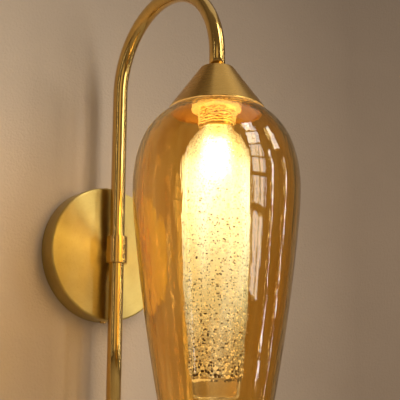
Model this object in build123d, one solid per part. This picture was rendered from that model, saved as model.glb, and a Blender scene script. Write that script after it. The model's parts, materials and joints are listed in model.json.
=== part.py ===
from build123d import *
import math
import os

# Wall light: a round wall plate, a gooseneck arm of brass tube, a brass cone, an amber glass shade and a
# bubble-glass bottle round a two-pin lamp. Millimetres, +Z up, the wall is the plane y = 0 and the light
# stands out towards -Y. The origin is the centre of the plate on the wall.

# Wall plate
CANOPY_R = 55.0
CANOPY_DEPTH = 16.5
CANOPY_WALL = 1.2
CANOPY_EDGE_R = 2.6

# Wall bracket behind the plate
BRACKET_WIDTH = 20.0
BRACKET_THICK = 1.5
BRACKET_GAP = 0.4
BRACKET_BEND_R = 2.5
EAR_REACH = 13.0
SLOT_SPACING = 70.0
SLOT_LENGTH = 12.0
SLOT_WIDTH = 4.6
CABLE_HOLE_R = 7.0
SIDE_SCREW_R = 1.5
SIDE_SCREW_LENGTH = 7.0
SIDE_SCREW_DEPTH = 8.0
SCREW_HEAD_RATIO = 1.85
SCREW_HEAD_HEIGHT = 1.6
SCREW_HEAD_ROUND = 0.8
SCREW_RECESS_WIDTH = 0.6

# Arm
TUBE_R = 6.0
TUBE_WALL = 1.0
ARCH_R = 65.5
ARCH_CENTRE_Z = 133.7
ARM_DROP = 11.9
STEM_LOW_Z = -134.0
STEM_CAP_DOME = 3.0
STEM_CAP_ROUND = 2.4
STEM_CAP_PLUG = 8.0

# Collar and spigot
COLLAR_WALL = 2.5
COLLAR_LENGTH = 22.2
COLLAR_LIFT = 1.7
COLLAR_EDGE = 0.6
COLLAR_GAP = 1.3
SPIGOT_THREAD_R = 3.9
SPIGOT_SHOULDER = 0.7
SPIGOT_BORE_R = 2.4
SPIGOT_TAIL = 0.8
SPIGOT_WASHER_R = 7.0
WASHER_THICK = 1.0
SPIGOT_NUT_ACROSS = 13.0
SPIGOT_NUT_THICK = 4.0
BUSH_WALL = 0.5
BUSH_FLANGE_R = 3.5
BUSH_FLANGE_THICK = 0.8
BUSH_LENGTH = 6.0

# Supply terminals and earth link
BLOCK_WIDTH = 26.0
BLOCK_HEIGHT = 12.0
BLOCK_DEPTH = 10.0
BLOCK_CENTRE_Z = -20.0
BLOCK_POLE_X = 7.0
BLOCK_WIRE_HOLE_R = 1.5
BLOCK_WIRE_SEAT = 4.5
BLOCK_SCREW_R = 1.4
BLOCK_SCREW_SPACING = 6.0
BLOCK_FIXING_R = 1.5
BLOCK_RECESS = 1.0
EARTH_SCREW_R = 2.0
EARTH_SCREW_Z = 17.0
TERMINAL_THICK = 0.8
TERMINAL_RIM = 2.2
TERMINAL_BARREL_WALL = 0.7
TERMINAL_BARREL_LENGTH = 5.0

# Internal wires
WIRE_R = 0.8
WIRE_SPREAD = 0.9
WIRE_ENTRY = 2.5
WIRE_KNEE_R = 3.8
WIRE_BEND_R = 6.0
WIRE_FAN_R = 4.0
EARTH_LOOP_REACH = 14.0
EARTH_LOOP_BULGE = 5.0

# Cone
CONE_TOP_R = 12.5
CONE_RIM_R = 35.8
CONE_HEIGHT = 32.6
CONE_WALL = 1.2
CONE_SHOULDER_R = 1.0
CONE_LIP = 0.7

# Nipple between tube and lampholder
NIPPLE_BORE_R = 3.4
NIPPLE_GRIP = 10.0
NIPPLE_TAIL = 2.0
NIPPLE_WASHER_RIM = 4.0
LOCKNUT_RIM = 2.0
LOCKNUT_THICK = 3.0

# Lampholder
SKIRT_R = 14.0
SKIRT_LENGTH = 21.7
SKIRT_NECK_WALL = 0.95
FLANGE_THICK = 2.0
FLANGE_MARGIN = 1.5
INSERT_R = 11.0
INSERT_HEIGHT = 13.0
INSERT_DROP = 6.3
SEAT_THICK = 1.7
SEAT_LEDGE = 1.5
HOLDER_CAP_SIDE = 1.1
HOLDER_CAP_TOP_WALL = 1.6
HOLDER_CAP_BEVEL = 3.0
GASKET_THICK = 0.8
RING_MARGIN = 1.4
RING_HEIGHT = 3.2
RING_NOTCHES = 16
RING_NOTCH_R = 0.7

# Lampholder contacts
PIN_SPACING = 9.0
CONTACT_HEIGHT = 9.0
CONTACT_WALL = 0.4
CONTACT_LIP = 1.0
CONTACT_SIDE_ROOM = 0.5
CONTACT_END_ROOM = 0.2
BARREL_WALL = 0.45
BARREL_HEIGHT = 4.0

# Two-pin lamp
PIN_R = 0.4
PIN_LOOP_R = 1.0
PIN_REACH = 7.5
PIN_ROOT = 2.0
LAMP_R = 6.1
LAMP_BASE_HEIGHT = 10.0
LAMP_LENGTH = 42.0
LAMP_WALL = 0.8
LAMP_BOSS = 3.0
BOARD_WIDTH = 7.0
BOARD_THICK = 1.2
BOARD_LENGTH = 31.0

# Outer glass shade: outside radii, drops below its flat top, slopes, and how far its curves run straight on
GLASS_WALL = 3.0
GLASS_TUCK = 6.3
GLASS_FLAT_R = 20.0
GLASS_BELLY_R = 61.5
GLASS_BELLY_DROP = 64.4
GLASS_MOUTH_R = 38.2
GLASS_HEIGHT = 236.0
GLASS_TOP_SLOPE_DEG = 18.0
GLASS_MOUTH_LEAN_DEG = 11.4
GLASS_SHOULDER_REACH = 19.0
GLASS_SIDE_REACH = 12.7

# Bubble-glass bottle: outside radii, drops below the start of its shoulder, and its thick base
BOTTLE_NECK_R = 10.6
BOTTLE_NECK_WALL = 1.1
BOTTLE_BEAD_STEP = 0.7
BOTTLE_BEAD_HEIGHT = 1.0
BOTTLE_BELLY_R = 25.1
BOTTLE_BELLY_DROP = 28.5
BOTTLE_STRAIGHT = 34.0
BOTTLE_BASE_R = 16.5
BOTTLE_HEIGHT = 199.0
BOTTLE_WALL = 2.6
BOTTLE_BASE_CORNER = 4.0
BOTTLE_BASE_THICK = 14.0
BOTTLE_CUP_R = 13.0
BOTTLE_SHOULDER_SLOPE_DEG = 45.7
BOTTLE_SHOULDER_REACH = 3.9
SHOULDER_RISE = 0.7
BOTTLE_NECK_GRIP = 2.7

# Snap ring in the lampholder's mouth
SNAP_WIRE_R = 0.5
SNAP_GRIP = 0.25
SNAP_GAP_DEG = 40.0
SNAP_GROOVE_ROOM = 0.2

# Clearances
FIT = 0.05
SEAT_GAP = 0.1
THREAD_FIT = 0.08
GLASS_HOLE_GAP = 1.5
GLASS_RIM_GAP = 0.35
NECK_GAP = 0.3

# Places that follow from the sizes
COLLAR_R = TUBE_R + FIT + COLLAR_WALL
SPIGOT_R = SPIGOT_THREAD_R + SPIGOT_SHOULDER
STEM_Y = -(CANOPY_DEPTH + COLLAR_GAP + COLLAR_R)
LAMP_Y = STEM_Y - 2 * ARCH_R
TUBE_BORE_R = TUBE_R - TUBE_WALL
CANOPY_INNER_R = CANOPY_R - CANOPY_WALL
CANOPY_INNER_DEPTH = CANOPY_DEPTH - CANOPY_WALL
EAR_Z = math.sqrt((CANOPY_INNER_R - BRACKET_GAP) ** 2 - (BRACKET_WIDTH / 2) ** 2)
WASHER_DEPTH = CANOPY_INNER_DEPTH - WASHER_THICK
TERMINAL_DEPTH = WASHER_DEPTH - TERMINAL_THICK
NUT_DEPTH = TERMINAL_DEPTH - SPIGOT_NUT_THICK
SPIGOT_TAIL_DEPTH = NUT_DEPTH - SPIGOT_TAIL
BLOCK_FRONT = BRACKET_THICK + BLOCK_DEPTH
BLOCK_WIRE_DEPTH = BRACKET_THICK + BLOCK_WIRE_SEAT

CONE_TOP_Z = ARCH_CENTRE_Z - ARM_DROP
CONE_RIM_Z = CONE_TOP_Z - CONE_HEIGHT
CONE_SLOPE = (CONE_RIM_R - CONE_TOP_R) / (CONE_HEIGHT - CONE_LIP)
CONE_WALL_ACROSS = CONE_WALL * math.hypot(1, CONE_SLOPE)
CONE_MOUTH_R = CONE_RIM_R - CONE_WALL_ACROSS
NIPPLE_R = TUBE_BORE_R - FIT
LOCKNUT_ACROSS = 2 * (NIPPLE_R + LOCKNUT_RIM)
LOCKNUT_TOP = CONE_TOP_Z - CONE_WALL - WASHER_THICK
HOLDER_CAP_TOP = LOCKNUT_TOP - LOCKNUT_THICK
NIPPLE_LOW = HOLDER_CAP_TOP - HOLDER_CAP_TOP_WALL - NIPPLE_TAIL

GLASS_TOP = CONE_RIM_Z + GLASS_TUCK
GLASS_FLAT_WALL = GLASS_WALL * math.cos(math.radians(GLASS_TOP_SLOPE_DEG))
FLANGE_LOW = GLASS_TOP + SEAT_GAP + GASKET_THICK
FLANGE_TOP = FLANGE_LOW + FLANGE_THICK
SKIRT_LOW = FLANGE_LOW - SKIRT_LENGTH
INSERT_LOW = FLANGE_LOW - INSERT_DROP
INSERT_TOP = INSERT_LOW + INSERT_HEIGHT
SKIRT_NECK_R = INSERT_R + FIT + SKIRT_NECK_WALL
SEAT_BORE_R = INSERT_R - SEAT_LEDGE
FLANGE_R = GLASS_FLAT_R - FLANGE_MARGIN
HOLDER_CAP_R = SKIRT_NECK_R + THREAD_FIT + HOLDER_CAP_SIDE
CONTACT_WIDTH = 2 * (PIN_R + CONTACT_SIDE_ROOM + CONTACT_WALL)
CONTACT_DEPTH = 2 * (PIN_LOOP_R + PIN_R + CONTACT_END_ROOM + CONTACT_WALL)
CONTACT_LOW = INSERT_LOW + CONTACT_LIP
CONTACT_TOP = CONTACT_LOW + CONTACT_HEIGHT
BARREL_TOP = CONTACT_TOP + BARREL_HEIGHT
RING_R = GLASS_FLAT_R - RING_MARGIN
RING_TOP = GLASS_TOP - GLASS_FLAT_WALL - SEAT_GAP
RING_BORE_R = SKIRT_R + THREAD_FIT
LAMP_TOP = INSERT_LOW - SEAT_GAP
LAMP_BASE_LOW = LAMP_TOP - LAMP_BASE_HEIGHT

BOTTLE_BEAD_R = BOTTLE_NECK_R + BOTTLE_BEAD_STEP
SKIRT_MOUTH_R = BOTTLE_BEAD_R + NECK_GAP
BOTTLE_TOP = SKIRT_LOW + BOTTLE_NECK_GRIP
BEAD_LOW = BOTTLE_TOP - BOTTLE_BEAD_HEIGHT
SNAP_Z = BEAD_LOW - SEAT_GAP - SNAP_WIRE_R
SNAP_RING_R = BOTTLE_BEAD_R - SNAP_GRIP + SNAP_WIRE_R
BOTTLE_SHOULDER_Z = SKIRT_LOW + SHOULDER_RISE
BOTTLE_LOW = BOTTLE_SHOULDER_Z - BOTTLE_HEIGHT

BASE = (Align.CENTER, Align.CENTER, Align.MIN)


# Helpers


def disc(radius, low, high, y=0.0):
    """Upright cylinder between two heights, on the vertical axis at y."""
    return Pos(0, y, low) * Cylinder(radius, high - low, align=BASE)


def ring(outer, inner, low, high, y=0.0):
    """Upright tube between two heights, on the vertical axis at y."""
    return disc(outer, low, high, y) - disc(inner, low, high, y)


def out_disc(radius, near, far, x=0.0, z=0.0):
    """Cylinder square to the wall, between two distances from it."""
    return Pos(x, -near, z) * Rot(90, 0, 0) * Cylinder(radius, far - near, align=BASE)


def out_ring(outer, inner, near, far, x=0.0, z=0.0):
    """Tube square to the wall, between two distances from it."""
    return out_disc(outer, near, far, x, z) - out_disc(inner, near, far, x, z)


def slab(x_size, near, far, low, high):
    """Box centred on x = 0, between two distances from the wall and two heights."""
    return Pos(0, -(near + far) / 2, (low + high) / 2) * Box(x_size, far - near, high - low)


def turned(outline, y):
    """Solid of revolution about the vertical axis at y, from the edges of a closed outline of (radius, height)."""
    return Pos(0, y, 0) * revolve(Plane.XZ * make_face(outline), Axis.Z)


def hexagon(across, thickness):
    """Hexagonal nut blank standing on its plane, given across its flats."""
    return extrude(RegularPolygon(across / math.sqrt(3), 6), thickness)


def swept(path, radius):
    """Round bar along a path."""
    return sweep(Plane(origin=path @ 0, z_dir=path % 0) * Circle(radius), path=path)


def screw(radius, length, head_height):
    """Pan-head screw with a cross recess, head up, its head seated on z = 0."""
    head_r = radius * SCREW_HEAD_RATIO
    head = Cylinder(head_r, head_height, align=BASE)
    head = fillet(head.edges().group_by(Axis.Z)[-1], SCREW_HEAD_ROUND)
    shank = Pos(0, 0, -length) * Cylinder(radius, length, align=BASE)
    bar = Box(head_r, SCREW_RECESS_WIDTH, head_height)
    recess = Pos(0, 0, head_height) * (bar + Rot(0, 0, 90) * bar)
    return head + shank - recess


def heading(degrees_down):
    """Direction that points outwards and down by an angle."""
    angle = math.radians(degrees_down)
    return Vector(math.cos(angle), -math.sin(angle))


def biarc(start, leaving, end, arriving, reach):
    """Two arcs that leave start and arrive at end along two directions and meet smoothly between them."""
    span = end - start
    across = 2 * span.dot(arriving) + 2 * reach * (1 - leaving.dot(arriving))
    end_reach = (span.dot(span) - 2 * reach * span.dot(leaving)) / across
    first_corner = start + leaving * reach
    last_corner = end - arriving * end_reach
    joint = (first_corner * end_reach + last_corner * reach) / (reach + end_reach)
    opening = TangentArc(start, joint, tangent=leaving)
    return [opening, TangentArc(joint, end, tangent=opening % 1)]


def inset(run, wall):
    """The same run of arcs and lines, one wall thickness further in."""
    moved = []
    for edge in run:
        ends = [edge @ place + Vector((edge % place).Y, -(edge % place).X) * wall for place in (0, 1)]
        straight = edge.geom_type == GeomType.LINE
        moved.append(Line(*ends) if straight else TangentArc(*ends, tangent=edge % 0))
    return moved


def group(*solids):
    """Identical pieces kept together as one sub-part."""
    return Compound(children=[piece for solid in solids for piece in solid.solids()])


# Wall plate and bracket


def make_canopy():
    cup = Cylinder(CANOPY_R, CANOPY_DEPTH, align=BASE)
    cup = fillet(cup.edges().group_by(Axis.Z)[-1], CANOPY_EDGE_R)
    hollow = Cylinder(CANOPY_INNER_R, CANOPY_INNER_DEPTH, align=BASE)
    hollow = fillet(hollow.edges().group_by(Axis.Z)[-1], max(CANOPY_EDGE_R - CANOPY_WALL, FIT))
    shell = Rot(90, 0, 0) * (cup - hollow)
    side_hole = Pos(0, -SIDE_SCREW_DEPTH, 0) * Cylinder(SIDE_SCREW_R + SEAT_GAP, 2 * CANOPY_R + CANOPY_WALL)
    return shell - out_disc(SPIGOT_THREAD_R + FIT, 0, CANOPY_DEPTH) - side_hole


def make_wall_bracket():
    bar = slab(BRACKET_WIDTH, 0, EAR_REACH, -EAR_Z, EAR_Z)
    bar = fillet(bar.edges().filter_by(Axis.X).group_by(Axis.Y)[-1], BRACKET_BEND_R)
    inside = slab(BRACKET_WIDTH, BRACKET_THICK, EAR_REACH, BRACKET_THICK - EAR_Z, EAR_Z - BRACKET_THICK)
    inner_bend = max(BRACKET_BEND_R - BRACKET_THICK, FIT)
    inside = fillet(inside.edges().filter_by(Axis.X).group_by(Axis.Y)[-1], inner_bend)
    bar -= inside
    bar -= Pos(0, -SIDE_SCREW_DEPTH, 0) * Cylinder(SIDE_SCREW_R + FIT, 2 * EAR_Z)
    bar -= out_disc(CABLE_HOLE_R, 0, BRACKET_THICK)
    bar -= out_disc(EARTH_SCREW_R + FIT, 0, BRACKET_THICK, z=EARTH_SCREW_Z)
    bar -= out_disc(BLOCK_FIXING_R + FIT, 0, BRACKET_THICK, z=BLOCK_CENTRE_Z)
    slot = extrude(SlotOverall(SLOT_LENGTH, SLOT_WIDTH, rotation=90), BRACKET_THICK)
    for side in (-1, 1):
        bar -= Pos(0, 0, side * SLOT_SPACING / 2) * Rot(90, 0, 0) * slot
    return bar


def make_canopy_screws():
    blank = screw(SIDE_SCREW_R, SIDE_SCREW_LENGTH, SCREW_HEAD_HEIGHT)
    top = Pos(0, -SIDE_SCREW_DEPTH, CANOPY_R) * blank
    bottom = Pos(0, -SIDE_SCREW_DEPTH, -CANOPY_R) * Rot(180, 0, 0) * blank
    return group(top, bottom)


# Collar, spigot and what clamps it


def make_collar():
    low = COLLAR_LIFT - COLLAR_LENGTH / 2
    sleeve = disc(COLLAR_R, low, low + COLLAR_LENGTH, STEM_Y)
    sleeve = fillet(sleeve.edges(), COLLAR_EDGE)
    sleeve -= disc(TUBE_R + FIT, low, low + COLLAR_LENGTH, STEM_Y)
    return sleeve - out_disc(SPIGOT_R + FIT, CANOPY_DEPTH, -STEM_Y)


def make_stem_spigot():
    bar = out_disc(SPIGOT_R, CANOPY_DEPTH, -STEM_Y)
    bar += out_disc(SPIGOT_THREAD_R, SPIGOT_TAIL_DEPTH, CANOPY_DEPTH)
    bar -= out_disc(SPIGOT_BORE_R, SPIGOT_TAIL_DEPTH, -STEM_Y)
    return bar - disc(TUBE_R + FIT, -COLLAR_LENGTH, COLLAR_LENGTH, STEM_Y)


def make_spigot_washer():
    return out_ring(SPIGOT_WASHER_R, SPIGOT_THREAD_R + FIT, WASHER_DEPTH, CANOPY_INNER_DEPTH)


def make_spigot_nut():
    nut = Pos(0, -NUT_DEPTH, 0) * Rot(90, 0, 0) * hexagon(SPIGOT_NUT_ACROSS, SPIGOT_NUT_THICK)
    return nut - out_disc(SPIGOT_THREAD_R + FIT, NUT_DEPTH, TERMINAL_DEPTH)


def make_wire_bush():
    outer_r = SPIGOT_BORE_R - FIT
    bush = out_disc(BUSH_FLANGE_R, SPIGOT_TAIL_DEPTH - BUSH_FLANGE_THICK, SPIGOT_TAIL_DEPTH)
    bush += out_disc(outer_r, SPIGOT_TAIL_DEPTH, SPIGOT_TAIL_DEPTH + BUSH_LENGTH)
    bore = out_disc(outer_r - BUSH_WALL, 0, SPIGOT_TAIL_DEPTH + BUSH_LENGTH)
    return bush - bore


# Arm


def arm_path():
    low = Vector(0, STEM_Y, STEM_LOW_Z)
    spring = Vector(0, STEM_Y, ARCH_CENTRE_Z)
    crown = Vector(0, STEM_Y - ARCH_R, ARCH_CENTRE_Z + ARCH_R)
    landing = Vector(0, LAMP_Y, ARCH_CENTRE_Z)
    end = Vector(0, LAMP_Y, CONE_TOP_Z)
    return Wire([Line(low, spring), ThreePointArc(spring, crown, landing), Line(landing, end)])


def make_arm_tube():
    path = arm_path()
    tube = swept(path, TUBE_R) - swept(path, TUBE_BORE_R)
    return tube - out_disc(SPIGOT_BORE_R, CANOPY_DEPTH, -STEM_Y)


def make_stem_end_cap():
    dome = disc(TUBE_R, STEM_LOW_Z - STEM_CAP_DOME, STEM_LOW_Z, STEM_Y)
    dome = fillet(dome.edges().group_by(Axis.Z)[0], STEM_CAP_ROUND)
    return dome + disc(TUBE_BORE_R - FIT, STEM_LOW_Z, STEM_LOW_Z + STEM_CAP_PLUG, STEM_Y)


# Supply terminals, earth link and internal wires


def pole_places():
    """Screw places on the terminal block, as (x, z)."""
    rows = (BLOCK_CENTRE_Z - BLOCK_SCREW_SPACING / 2, BLOCK_CENTRE_Z + BLOCK_SCREW_SPACING / 2)
    return [(side * BLOCK_POLE_X, z) for side in (-1, 1) for z in rows]


def make_terminal_block():
    low = BLOCK_CENTRE_Z - BLOCK_HEIGHT / 2
    high = BLOCK_CENTRE_Z + BLOCK_HEIGHT / 2
    block = slab(BLOCK_WIDTH, BRACKET_THICK, BLOCK_FRONT, low, high)
    block = fillet(block.edges().filter_by(Axis.Y), BLOCK_RECESS)
    for side in (-1, 1):
        hole = Cylinder(BLOCK_WIRE_HOLE_R, BLOCK_HEIGHT)
        block -= Pos(side * BLOCK_POLE_X, -BLOCK_WIRE_DEPTH, BLOCK_CENTRE_Z) * hole
    for x, z in pole_places():
        block -= out_disc(BLOCK_SCREW_R + FIT, BLOCK_WIRE_DEPTH, BLOCK_FRONT, x, z)
    head_r = BLOCK_FIXING_R * SCREW_HEAD_RATIO + SEAT_GAP
    block -= out_disc(BLOCK_FIXING_R + FIT, BRACKET_THICK, BLOCK_FRONT, z=BLOCK_CENTRE_Z)
    return block - out_disc(head_r, BLOCK_FRONT - SCREW_HEAD_HEIGHT, BLOCK_FRONT, z=BLOCK_CENTRE_Z)


def make_terminal_screws():
    tip = BLOCK_WIRE_DEPTH + WIRE_R + FIT
    top = BLOCK_FRONT - BLOCK_RECESS
    slot = slab(BLOCK_SCREW_R * 2, top - BLOCK_RECESS, top, -BLOCK_SCREW_R / 4, BLOCK_SCREW_R / 4)
    return group(*[out_disc(BLOCK_SCREW_R, tip, top, x, z) - Pos(x, 0, z) * slot for x, z in pole_places()])


def make_terminal_fixing_screw():
    seat = BLOCK_FRONT - SCREW_HEAD_HEIGHT
    blank = screw(BLOCK_FIXING_R, seat, SCREW_HEAD_HEIGHT)
    return Pos(0, -seat, BLOCK_CENTRE_Z) * Rot(90, 0, 0) * blank


def make_earth_screw():
    seat = BRACKET_THICK + TERMINAL_THICK
    return Pos(0, -seat, EARTH_SCREW_Z) * Rot(90, 0, 0) * screw(EARTH_SCREW_R, seat, SCREW_HEAD_HEIGHT)


def ring_terminal(hole_r, barrel_start):
    """Crimp terminal lying on z = 0, its barrel along +X."""
    barrel_r = WIRE_R + FIT + TERMINAL_BARREL_WALL
    eye_r = hole_r + TERMINAL_RIM
    end = barrel_start + TERMINAL_BARREL_LENGTH
    eye = Cylinder(eye_r, TERMINAL_THICK, align=BASE)
    tongue = Pos(end / 2, 0, TERMINAL_THICK / 2) * Box(end, 2 * barrel_r, TERMINAL_THICK)
    barrel = Pos(barrel_start, 0, barrel_r) * Rot(0, 90, 0) * Cylinder(
        barrel_r, TERMINAL_BARREL_LENGTH, align=BASE)
    bore = Pos(barrel_start, 0, barrel_r) * Rot(0, 90, 0) * Cylinder(
        WIRE_R + FIT, TERMINAL_BARREL_LENGTH, align=BASE)
    return eye + tongue + barrel - bore - Cylinder(hole_r, 2 * TERMINAL_THICK)


def barrel_height():
    """Height of a crimp barrel's axis above the terminal's seat."""
    return WIRE_R + FIT + TERMINAL_BARREL_WALL


def bracket_barrel_start():
    return EARTH_SCREW_R * SCREW_HEAD_RATIO + TERMINAL_BARREL_WALL


def spigot_barrel_start():
    return SPIGOT_NUT_ACROSS / math.sqrt(3) + TERMINAL_BARREL_WALL


def make_earth_terminal_bracket():
    blank = ring_terminal(EARTH_SCREW_R + FIT, bracket_barrel_start())
    return Pos(0, -BRACKET_THICK, EARTH_SCREW_Z) * Rot(90, 0, 0) * blank


def make_earth_terminal_spigot():
    blank = ring_terminal(SPIGOT_THREAD_R + FIT, spigot_barrel_start())
    return Pos(0, -WASHER_DEPTH, 0) * Rot(-90, 0, 0) * blank


def make_earth_wire():
    near = -(BRACKET_THICK + barrel_height())
    far = -(WASHER_DEPTH - barrel_height())
    first = bracket_barrel_start() + WIRE_ENTRY
    last = spigot_barrel_start() + WIRE_ENTRY
    points = [
        (first, near, EARTH_SCREW_Z),
        (first + EARTH_LOOP_REACH, near, EARTH_SCREW_Z),
        (first + EARTH_LOOP_REACH + EARTH_LOOP_BULGE, (near + far) / 2, EARTH_SCREW_Z / 2),
        (first + EARTH_LOOP_REACH, far, 0),
        (last, far, 0),
    ]
    return swept(FilletPolyline(*points, radius=[WIRE_FAN_R] * 3), WIRE_R)


def wire_path(side):
    """Route of one supply wire, from its terminal to its lampholder contact."""
    x = side * WIRE_SPREAD
    block_top = BLOCK_CENTRE_Z + BLOCK_HEIGHT / 2
    clamp_z = BLOCK_CENTRE_Z - BLOCK_SCREW_SPACING / 2
    turn_y = -(BRACKET_THICK + WIRE_R * 2)
    knee_z = WIRE_KNEE_R * 2
    to_spigot = FilletPolyline(
        (side * BLOCK_POLE_X, -BLOCK_WIRE_DEPTH, clamp_z),
        (side * BLOCK_POLE_X, -BLOCK_WIRE_DEPTH, block_top + WIRE_ENTRY),
        (x, turn_y, 0),
        (x, STEM_Y, 0),
        (x, STEM_Y, knee_z),
        radius=[WIRE_BEND_R, WIRE_KNEE_R, WIRE_KNEE_R],
    )
    spring = Vector(x, STEM_Y, ARCH_CENTRE_Z)
    crown = Vector(x, STEM_Y - ARCH_R, ARCH_CENTRE_Z + ARCH_R)
    landing = Vector(x, LAMP_Y, ARCH_CENTRE_Z)
    contact_x = side * PIN_SPACING / 2
    to_contact = FilletPolyline(
        landing,
        (x, LAMP_Y, NIPPLE_LOW),
        (contact_x, LAMP_Y, BARREL_TOP + WIRE_ENTRY),
        (contact_x, LAMP_Y, CONTACT_TOP + FIT),
        radius=[WIRE_BEND_R, WIRE_FAN_R],
    )
    riser = Line(to_spigot @ 1, spring)
    bend = ThreePointArc(spring, crown, landing)
    return Wire(to_spigot.edges() + [riser, bend] + to_contact.edges())


def make_live_wire():
    return swept(wire_path(-1), WIRE_R)


def make_neutral_wire():
    return swept(wire_path(1), WIRE_R)


# Cone and nipple


def make_cone_cap():
    outside = Polyline(
        (0, CONE_TOP_Z), (CONE_TOP_R, CONE_TOP_Z), (CONE_RIM_R, CONE_RIM_Z + CONE_LIP), (CONE_RIM_R, CONE_RIM_Z))
    inside_top = CONE_TOP_R + CONE_SLOPE * CONE_WALL - CONE_WALL_ACROSS
    inside = Polyline(
        (CONE_RIM_R, CONE_RIM_Z),
        (CONE_MOUTH_R, CONE_RIM_Z),
        (CONE_MOUTH_R, CONE_RIM_Z + CONE_LIP),
        (inside_top, CONE_TOP_Z - CONE_WALL),
        (0, CONE_TOP_Z - CONE_WALL),
        (0, CONE_TOP_Z),
    )
    cone = turned([*outside.edges(), *inside.edges()], LAMP_Y)
    shoulder = [e for e in cone.edges().filter_by(GeomType.CIRCLE)
                if abs(e.center().Z - CONE_TOP_Z) < FIT and abs(e.radius - CONE_TOP_R) < FIT]
    cone = fillet(shoulder, CONE_SHOULDER_R)
    return cone - disc(NIPPLE_R + FIT, CONE_RIM_Z, CONE_TOP_Z, LAMP_Y)


def make_lampholder_nipple():
    return ring(NIPPLE_R, NIPPLE_BORE_R, NIPPLE_LOW, CONE_TOP_Z + NIPPLE_GRIP, LAMP_Y)


def make_nipple_washer():
    return ring(NIPPLE_R + NIPPLE_WASHER_RIM, NIPPLE_R + FIT, LOCKNUT_TOP, CONE_TOP_Z - CONE_WALL, LAMP_Y)


def make_nipple_locknut():
    nut = Pos(0, LAMP_Y, HOLDER_CAP_TOP) * hexagon(LOCKNUT_ACROSS, LOCKNUT_THICK)
    return nut - disc(NIPPLE_R + FIT, HOLDER_CAP_TOP, LOCKNUT_TOP, LAMP_Y)


# Lampholder


def make_lampholder_cap():
    cup = disc(HOLDER_CAP_R, FLANGE_TOP, HOLDER_CAP_TOP, LAMP_Y)
    cup = chamfer(cup.edges().group_by(Axis.Z)[-1], HOLDER_CAP_BEVEL)
    cup -= disc(SKIRT_NECK_R + THREAD_FIT, FLANGE_TOP, INSERT_TOP, LAMP_Y)
    room = disc(SEAT_BORE_R, INSERT_TOP, HOLDER_CAP_TOP - HOLDER_CAP_TOP_WALL, LAMP_Y)
    return cup - room - disc(NIPPLE_R + FIT, INSERT_TOP, HOLDER_CAP_TOP, LAMP_Y)


def make_lampholder_skirt():
    seat_low = INSERT_LOW - SEAT_THICK
    sleeve = disc(SKIRT_R, SKIRT_LOW, FLANGE_LOW, LAMP_Y)
    sleeve += disc(FLANGE_R, FLANGE_LOW, FLANGE_TOP, LAMP_Y)
    sleeve += disc(SKIRT_NECK_R, FLANGE_TOP, INSERT_TOP, LAMP_Y)
    sleeve -= disc(SKIRT_MOUTH_R, SKIRT_LOW, seat_low, LAMP_Y)
    sleeve -= disc(SEAT_BORE_R, seat_low, INSERT_LOW, LAMP_Y)
    sleeve -= disc(INSERT_R + FIT, INSERT_LOW, INSERT_TOP, LAMP_Y)
    groove_r = SNAP_RING_R + SNAP_WIRE_R + SNAP_GROOVE_ROOM
    groove_half = SNAP_WIRE_R + SEAT_GAP
    return sleeve - disc(groove_r, SNAP_Z - groove_half, SNAP_Z + groove_half, LAMP_Y)


def contact_places():
    """Centres of the two contacts, on the lampholder's axis plane."""
    return [(side * PIN_SPACING / 2, LAMP_Y) for side in (-1, 1)]


def make_lampholder_insert():
    body = disc(INSERT_R, INSERT_LOW, INSERT_TOP, LAMP_Y)
    mouth_width = CONTACT_WIDTH - 2 * CONTACT_WALL
    mouth_depth = CONTACT_DEPTH - 2 * CONTACT_WALL
    for x, y in contact_places():
        well = Box(CONTACT_WIDTH + 2 * FIT, CONTACT_DEPTH + 2 * FIT, INSERT_TOP - CONTACT_LOW, align=BASE)
        mouth = Box(mouth_width, mouth_depth, CONTACT_LIP, align=BASE)
        body -= Pos(x, y, CONTACT_LOW) * well + Pos(x, y, INSERT_LOW) * mouth
    return body


def make_socket_contacts():
    inner_width = CONTACT_WIDTH - 2 * CONTACT_WALL
    inner_depth = CONTACT_DEPTH - 2 * CONTACT_WALL
    blank = Box(CONTACT_WIDTH, CONTACT_DEPTH, CONTACT_HEIGHT, align=BASE)
    blank -= Box(inner_width, inner_depth, CONTACT_HEIGHT - CONTACT_WALL, align=BASE)
    blank += Pos(0, 0, CONTACT_HEIGHT) * Cylinder(WIRE_R + FIT + BARREL_WALL, BARREL_HEIGHT, align=BASE)
    blank -= Pos(0, 0, CONTACT_HEIGHT) * Cylinder(WIRE_R + FIT, BARREL_HEIGHT, align=BASE)
    return group(*[Pos(x, y, CONTACT_LOW) * blank for x, y in contact_places()])


def make_shade_gasket():
    return ring(FLANGE_R, SKIRT_R + GLASS_HOLE_GAP, FLANGE_LOW - GASKET_THICK, FLANGE_LOW, LAMP_Y)


def make_shade_ring():
    low = RING_TOP - RING_HEIGHT
    body = ring(RING_R, RING_BORE_R, low, RING_TOP, LAMP_Y)
    notch = disc(RING_NOTCH_R, low, RING_TOP)
    for place in PolarLocations(RING_R, RING_NOTCHES):
        body -= Pos(0, LAMP_Y, 0) * place * notch
    return body


# Glass


def rounded_rim(outside, inside):
    """Half-round edge between the ends of two wall curves."""
    middle = (outside @ 1 + inside @ 1) / 2
    return ThreePointArc(outside @ 1, middle + (outside % 1) * GLASS_WALL / 2, inside @ 1)


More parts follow.
